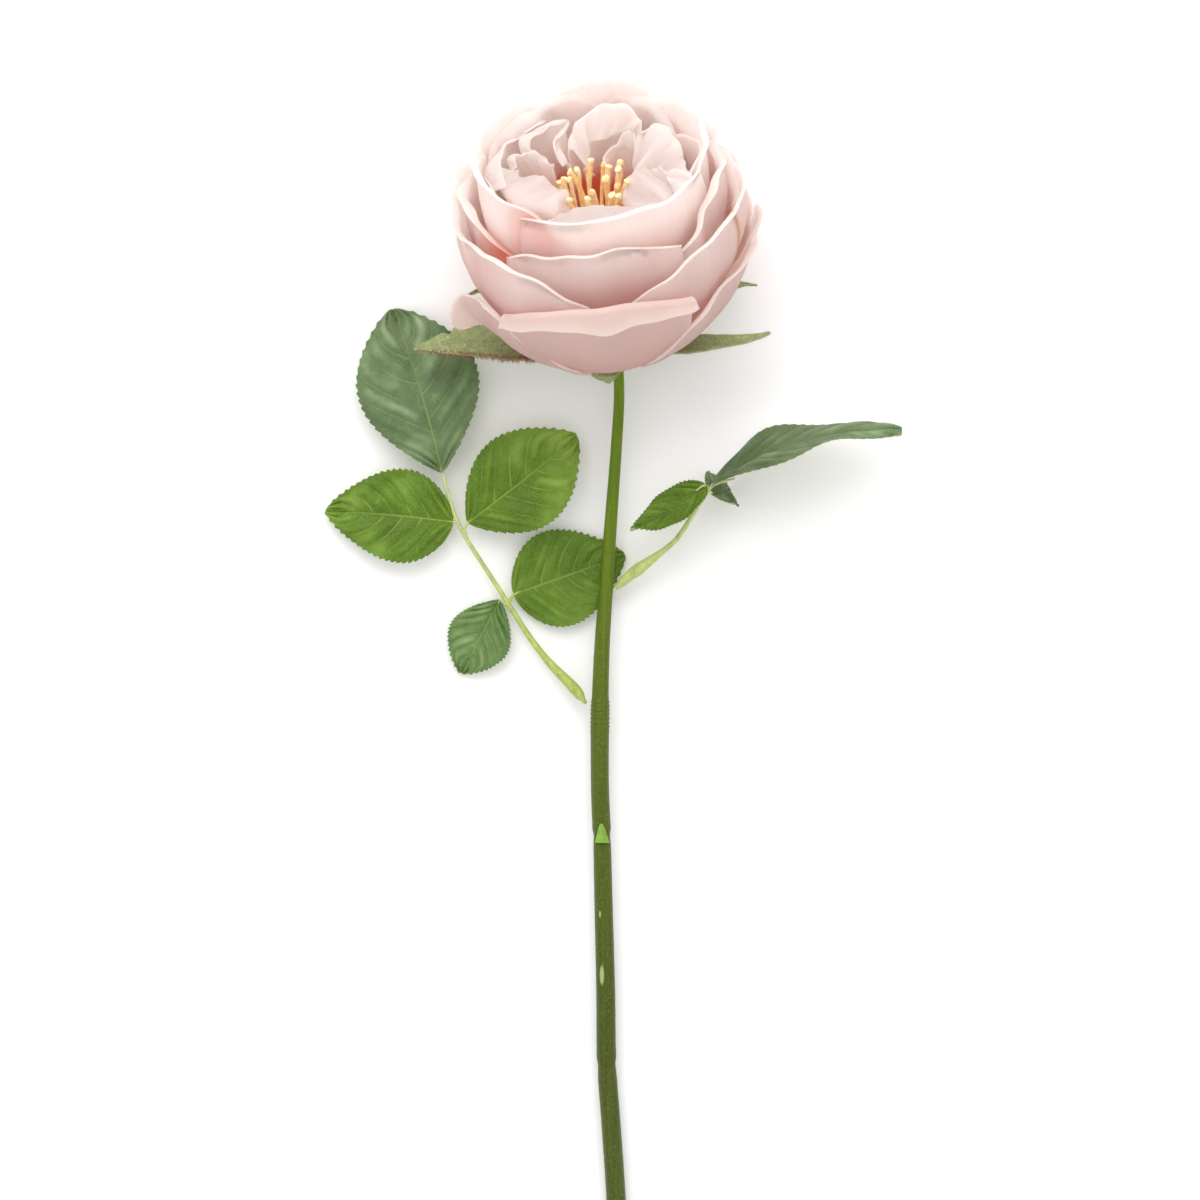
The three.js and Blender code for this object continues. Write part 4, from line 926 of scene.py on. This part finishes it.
# the scale leaf over the bud at the first growth joint
budScale = {"length": 6, "foot": waist1 + 2.4, "halfTurn": 40, "thickness": 0.4, "columns": 30, "lines": 30}
across, along = gridPlaces(budScale["columns"], budScale["lines"])
budDistance = budScale["foot"] - budScale["length"] * along
budTurn = (90 + budScale["halfTurn"] * across * (1 - 0.85 * along)) * degree
budReach = np.interp(budDistance, *zip(*radiusTable)) + 0.35 + 0.45 * (1 + along)
budGrid = np.stack([budReach * np.cos(budTurn), 0 * budTurn, budReach * np.sin(budTurn)], -1)
budGrid = budGrid + stemPointAt(budDistance)
# Bud scale, grown: fresh leaf green, a little paler than the stem under it.
budMaterial = plantMaterial("freshBudScale", [(0.0, "#7fa63e"), (1.0, "#86ad45")], (0, 1),
    (500.0, 160.0, 500.0), 0.45, "#b4cc78", 0.4, 0.1)
budMesh = sheetMesh("bud_scale", fromCalyx(budGrid), budScale["thickness"], {})
piece = showPiece("fine_bud_scale", budMesh, budMaterial)
handOver(piece, "bud_scale")


# hip and sepals

print("hip and sepals")
sepalSizes = {"thickness": 0.55, "downLength": 0.0008, "downThickness": 0.00007, "downDensity": 2.5e6,
    "edgeLength": 0.0013, "edgeThickness": 0.0001, "edgeDensity": 5e6,
    "columns": 40, "lines": 90}
# Sepal, grown: grey-green and downy, so it looks frosted.
sepalMaterial = plantMaterial("downySepal", [(0.0, "#8f9b62"), (0.5, "#9ba873"), (1.0, "#a9b489")],
    (fromFlower((0, 0, 0))[1] - 0.03, fromFlower((0, 0, 0))[1] + 0.05), (400.0, 400.0, 400.0), 0.85,
    "#cdd3b0", 0.6, 0.1)
# Down, grown: pale hairs all over, red-brown ones along the first sepal's edge.
downMaterial = plantMaterial("paleDown", [(0.0, "#c3c9a2"), (1.0, "#c9cfae")], (0, 1),
    (900.0, 900.0, 900.0), 0.8, "#d8dcc0", 0.9, 0.2)
redDownMaterial = plantMaterial("redDown", [(0.0, "#c0626a"), (1.0, "#c86c70")], (0, 1),
    (900.0, 900.0, 900.0), 0.8, "#d99a94", 0.9, 0.2)
sepalFoot = (7.6, -1.9)
sepals = [
    {"around": 176, "bend": 4, "half": 10.5, "spine": [sepalFoot, (24, 0.2), (44, 3.5), (62, 5.6)],
     "notch": 0.72, "redSide": 1},
    {"around": -106, "bend": 2, "half": 6, "spine": [sepalFoot, (13, -1.2), (17.5, -2.2), (15, -6.5)]},
    {"around": -34, "bend": 27, "half": 4.8, "spine": [sepalFoot, (20, 0.6), (35, 1.5), (48.5, -2.5)]},
    {"around": 38, "bend": -22, "half": 5.5, "spine": [sepalFoot, (20, -1), (35, -0.5), (48.3, 1.5)]},
    {"around": 112, "bend": 48, "half": 6, "spine": [sepalFoot, (20, 0.6), (35, 5), (48, 10)]},
]
for number, sepal in enumerate(sepals, 1):
    across, along = gridPlaces(sepalSizes["columns"], sepalSizes["lines"])
    spine = splinePoints(sepal["spine"], along)
    width = sepal["half"] * np.sin(math.pi * (0.22 + 0.76 * along)) ** 1.1
    width = width * (1 + 0.07 * ripple(500 + number, along, (5, 11, 23)) * np.abs(across))
    if "notch" in sepal:
        # a leafy lobe ends here, and the sepal runs on narrower
        width = width * (1 + 0.35 * np.exp(-((along - sepal["notch"]) / 0.1) ** 2) * (across < 0))
        width = width * (1 - 0.4 * np.exp(-((along - sepal["notch"] - 0.07) / 0.025) ** 2) * (across < 0))
    angle = (sepal["around"] + sepal["bend"] * along ** 2) * degree
    sideways = across * width
    waviness = ripple(520 + number, along + 0.3 * across, (2, 5, 9)) * np.abs(across)
    lift = 0.12 * width * across ** 2 + 0.25 * waviness
    midrib = 0.35 * np.exp(-(sideways / 0.6) ** 2)
    grid = np.stack([
        spine[..., 0] * np.cos(angle) - sideways * np.sin(angle),
        spine[..., 0] * np.sin(angle) + sideways * np.cos(angle),
        spine[..., 1] + lift - midrib], -1)
    redEdge = smoothStep(0.8, 0.98, across * sepal.get("redSide", 0)) * smoothStep(0.15, 0.4, along)
    mesh = sheetMesh(f"sepal_{number}", fromFlower(grid), sepalSizes["thickness"],
        {"hairy": 0.5 + 0 * across, "redEdge": redEdge})
    mesh.materials.append(sepalMaterial)
    downy = growPiece(f"sepal_{number}_downy", mesh, down,
        {"Density": sepalSizes["downDensity"], "Length": sepalSizes["downLength"], "Seed": number,
        "Thickness": sepalSizes["downThickness"], "Where": "hairy", "Finish": downMaterial})
    downyMesh = downy.data
    bpy.data.objects.remove(downy)
    piece = growPiece(f"fine_sepal_{number}", downyMesh, down,
        {"Density": sepalSizes["edgeDensity"], "Length": sepalSizes["edgeLength"], "Seed": 40 + number,
        "Thickness": sepalSizes["edgeThickness"], "Where": "redEdge", "Finish": redDownMaterial})
    handOver(piece, f"sepal_{number}")


def turnedMesh(name, profile, sides, swell):
    # a closed solid turned about the flower's axis, swollen by a function of angle and height
    profile = np.asarray(profile, float)
    angle = np.linspace(0, 2 * math.pi, sides, endpoint=False)
    ring = profile[1:-1]
    radius = ring[:, :1] * (1 + swell(angle[None, :], ring[:, 1:]))
    points = np.stack([radius * np.cos(angle), radius * np.sin(angle),
        np.broadcast_to(ring[:, 1:], radius.shape)], -1)
    vertices = np.concatenate([points.reshape(-1, 3), [[0, 0, profile[0, 1]], [0, 0, profile[-1, 1]]]])
    count = len(ring)
    index = np.arange(count * sides).reshape(count, sides)
    nextSide = np.roll(index, -1, axis=1)
    faces = np.stack([index[:-1], nextSide[:-1], nextSide[1:], index[1:]], -1).reshape(-1, 4).tolist()
    faces += [[nextSide[0, k], index[0, k], count * sides] for k in range(sides)]
    faces += [[index[-1, k], nextSide[-1, k], count * sides + 1] for k in range(sides)]
    mesh = bpy.data.meshes.new(name)
    mesh.from_pydata(fromFlower(vertices).tolist(), [], faces)
    mesh.update()
    return mesh


hipSizes = {"radius": 6.6, "length": stemSizes["hipLength"], "neck": 1.9, "sides": 72, "lines": 40,
    "downDensity": 1.5e6, "downLength": 0.0006, "downThickness": 0.00005}
hipRadius, hipLength = hipSizes["radius"], hipSizes["length"]
hipProfile = splinePoints([(hipSizes["neck"], -hipLength), (0.72 * hipRadius, -0.78 * hipLength),
    (hipRadius, -0.45 * hipLength), (0.93 * hipRadius, -0.2 * hipLength), (flower["seatRadius"], 0)],
    np.linspace(0, 1, hipSizes["lines"]))
seatTop = (flower["seatRadius"] - flower["seatTaper"] * flower["seatHeight"], flower["seatHeight"])
hipProfile = np.vstack([[(0, -hipLength)], hipProfile, [seatTop], [(0, flower["seatHeight"])]])


def hipSwell(angle, height):
    # five soft lobes below the sepals, and fine ribs all over
    return 0.02 * np.sin(5 * angle) * (height < 0) + 0.008 * np.sin(17 * angle)


hipMesh = turnedMesh("hip", hipProfile, hipSizes["sides"], hipSwell)
hipMesh.materials.append(sepalMaterial)
hairyHip = np.zeros(len(hipMesh.vertices))
hairyHip[:hipSizes["lines"] * hipSizes["sides"]] = 0.5
keepNumbers(hipMesh, "hairy", hairyHip)
piece = growPiece("fine_hip", hipMesh, down, {"Density": hipSizes["downDensity"],
    "Length": hipSizes["downLength"], "Thickness": hipSizes["downThickness"], "Seed": 9, "Where": "hairy",
    "Finish": downMaterial})
handOver(piece, "hip")


# stamens and pistils

print("stamens")
stamenSizes = {"count": 26, "ringInner": 2.8, "innerReach": 2.5, "reach": 13.5, "height": 63.5,
    "foot": 36.6, "sides": 12, "ringRadius": 4, "ringHeight": 37.2, "ringThickness": 0.8, "wander": 1.2}
# Stamen, grown: pollen-dusted honey yellow, paler on the anthers' tips.
stamenMaterial, add = startMaterial("pollenStamen")
place = add("ShaderNodeTexCoord")["Object"]
grains = add("ShaderNodeTexNoise", {"Vector": place, "Scale": 700.0, "Detail": 3.0})["Fac"]
honey = setRamp(add("ShaderNodeValToRGB", {"Fac": grains}),
    [(0.25, "#f7c980"), (0.5, "#fde2ab"), (0.75, "#fff5dc")])
bump = add("ShaderNodeBump", {"Strength": 0.5, "Distance": 0.0003, "Height": grains})[0]
skin = add("ShaderNodeBsdfPrincipled", {"Base Color": honey, "Roughness": 0.7, "Normal": bump,
    "Subsurface Weight": 0.2, "Subsurface Scale": 0.001})[0]
add("ShaderNodeOutputMaterial", {"Surface": skin})
places = np.linspace(0, 1, 40)
paths = []
draws = np.random.RandomState(11)
for index in range(stamenSizes["count"]):
    angle = index * goldenAngle
    outward = math.sqrt((index + 0.5) / stamenSizes["count"])
    footRadius = stamenSizes["ringInner"] + 0.6 + 0.9 * outward
    tipRadius = stamenSizes["innerReach"] + (stamenSizes["reach"] - stamenSizes["innerReach"]) * outward
    tipHeight = stamenSizes["height"] - 7 * outward + draws.uniform(-2, 2)
    lean = angle + draws.uniform(-0.3, 0.3)
    foot = np.array([footRadius * math.cos(angle), footRadius * math.sin(angle), stamenSizes["foot"]])
    tip = np.array([tipRadius * math.cos(lean), tipRadius * math.sin(lean), tipHeight])
    middle = (foot + tip) / 2 + draws.uniform(-stamenSizes["wander"], stamenSizes["wander"], 3)
    line = splinePoints([foot, middle, tip, tip + draws.uniform(-1.1, 1.1, 3) + (0, 0, 0.9)], places)
    size = draws.uniform(0.85, 1.15)
    width = np.interp(places, [0, 0.5, 0.66, 0.76, 0.86, 0.95, 1],
        [0.6, 0.72, 0.8, 1.05, 1.15, 0.95, 0.4]) * size
    paths.append((fromFlower(line), width / 1000))
ringTurn = np.linspace(0, 2 * math.pi, 60)
ring = np.stack([
    stamenSizes["ringRadius"] * np.cos(ringTurn),
    stamenSizes["ringRadius"] * np.sin(ringTurn),
    np.full(len(ringTurn), stamenSizes["ringHeight"])], -1)
paths.append((fromFlower(ring), stamenSizes["ringThickness"] / 1000))
piece = growPiece("fine_stamens", pathMesh("stamens", paths), tubes,
    {"Sides": stamenSizes["sides"], "Ribs": 2.0, "Rib Depth": 0.12, "Roughness": 0.0004,
    "Finish": stamenMaterial})
handOver(piece, "stamens")

pistilMaterial = plantMaterial("palePistil", [(0.0, "#c9cf8a"), (1.0, "#d8d79a")], (0, 1),
    (900.0, 900.0, 900.0), 0.7, "#e8d8a0", 0.5, 0.1)
pistilSizes = {"count": 19, "spacing": 0.5, "height": 8, "spread": 0.4, "sides": 8}
places = np.linspace(0, 1, 12)
paths = []
for index in range(pistilSizes["count"]):
    angle, radius = index * goldenAngle, pistilSizes["spacing"] * math.sqrt(index)
    foot = np.array([radius * math.cos(angle), radius * math.sin(angle), stamenSizes["foot"]])
    top = foot + (pistilSizes["spread"] * math.cos(3 * angle), pistilSizes["spread"] * math.sin(3 * angle),
        pistilSizes["height"] - 0.9 * radius)
    width = np.interp(places, [0, 0.7, 0.85, 1], [0.28, 0.25, 0.42, 0.2])
    paths.append((fromFlower(splinePoints([foot, (foot + top) / 2, top], places)), width / 1000))
piece = growPiece("fine_pistils", pathMesh("pistils", paths), tubes,
    {"Sides": pistilSizes["sides"], "Ribs": 2.0, "Rib Depth": 0.1, "Roughness": 0.0001,
    "Finish": pistilMaterial})
handOver(piece, "pistils")


# table, light and camera

print("table, light and camera")
tableSize = 3.0
floorMesh = bpy.data.meshes.new("table")
floorMesh.from_pydata([(-tableSize, -tableSize, 0), (tableSize, -tableSize, 0), (tableSize, tableSize, 0),
    (-tableSize, tableSize, 0)], [], [(0, 1, 2, 3)])
# Painted studio board: matte white
floorMaterial, add = startMaterial("whiteStudioBoard")
board = add("ShaderNodeBsdfPrincipled", {"Base Color": toLinear("#fbfafa"), "Roughness": 0.9})[0]
add("ShaderNodeOutputMaterial", {"Surface": board})
floor = showPiece("table", floorMesh, floorMaterial)

lighting = {"skyBack": 1.35, "skyFront": 0.85, "key": 16.5, "keyPlace": (-0.25, 1.35, 1.5), "keySize": 1.6}
world = bpy.data.worlds.new("studio")
world.use_nodes = True
tree = world.node_tree
add = partial(addNode, tree)
sky = tree.nodes["Background"]
sky.inputs["Color"].default_value = toLinear("#ffffff")
direction = add("ShaderNodeTexCoord")["Generated"]
towardsBack = add("ShaderNodeSeparateXYZ", {"Vector": direction})["Y"]
strength = add("ShaderNodeMapRange", {"Value": towardsBack, "From Min": -1.0, "From Max": 1.0,
    "To Min": lighting["skyFront"], "To Max": lighting["skyBack"]})[0]
tree.links.new(strength, sky.inputs["Strength"])
bpy.context.scene.world = world


def aim(thing, place, target):
    thing.location = place
    thing.rotation_euler = (Vector(target) - Vector(place)).to_track_quat("-Z", "Y").to_euler()


keyLight = bpy.data.lights.new("softbox", "AREA")
keyLight.energy = lighting["key"]
keyLight.size = lighting["keySize"]
key = bpy.data.objects.new("softbox", keyLight)
bpy.context.scene.collection.objects.link(key)
aim(key, lighting["keyPlace"], fromFlower((0, 0, 40)))

view = {"distance": 2.46, "lens": 240, "aimAt": (-4.31, -82.15, 40)}
camera = bpy.data.objects.new("camera", bpy.data.cameras.new("camera"))
bpy.context.scene.collection.objects.link(camera)
camera.data.lens = view["lens"]
camera.data.sensor_width = 36
camera.data.clip_end = 20
target = np.array(view["aimAt"]) + (calyx[0], calyx[1], 0)
camera.location = (target[0] / 1000, target[1] / 1000, target[2] / 1000 + view["distance"])
camera.rotation_euler = (0, 0, 0)
bpy.context.scene.camera = camera
bpy.context.scene.view_settings.view_transform = "Standard"
# light passes from petal to petal many times before it leaves the flower
bpy.context.scene.cycles.diffuse_bounces = 8
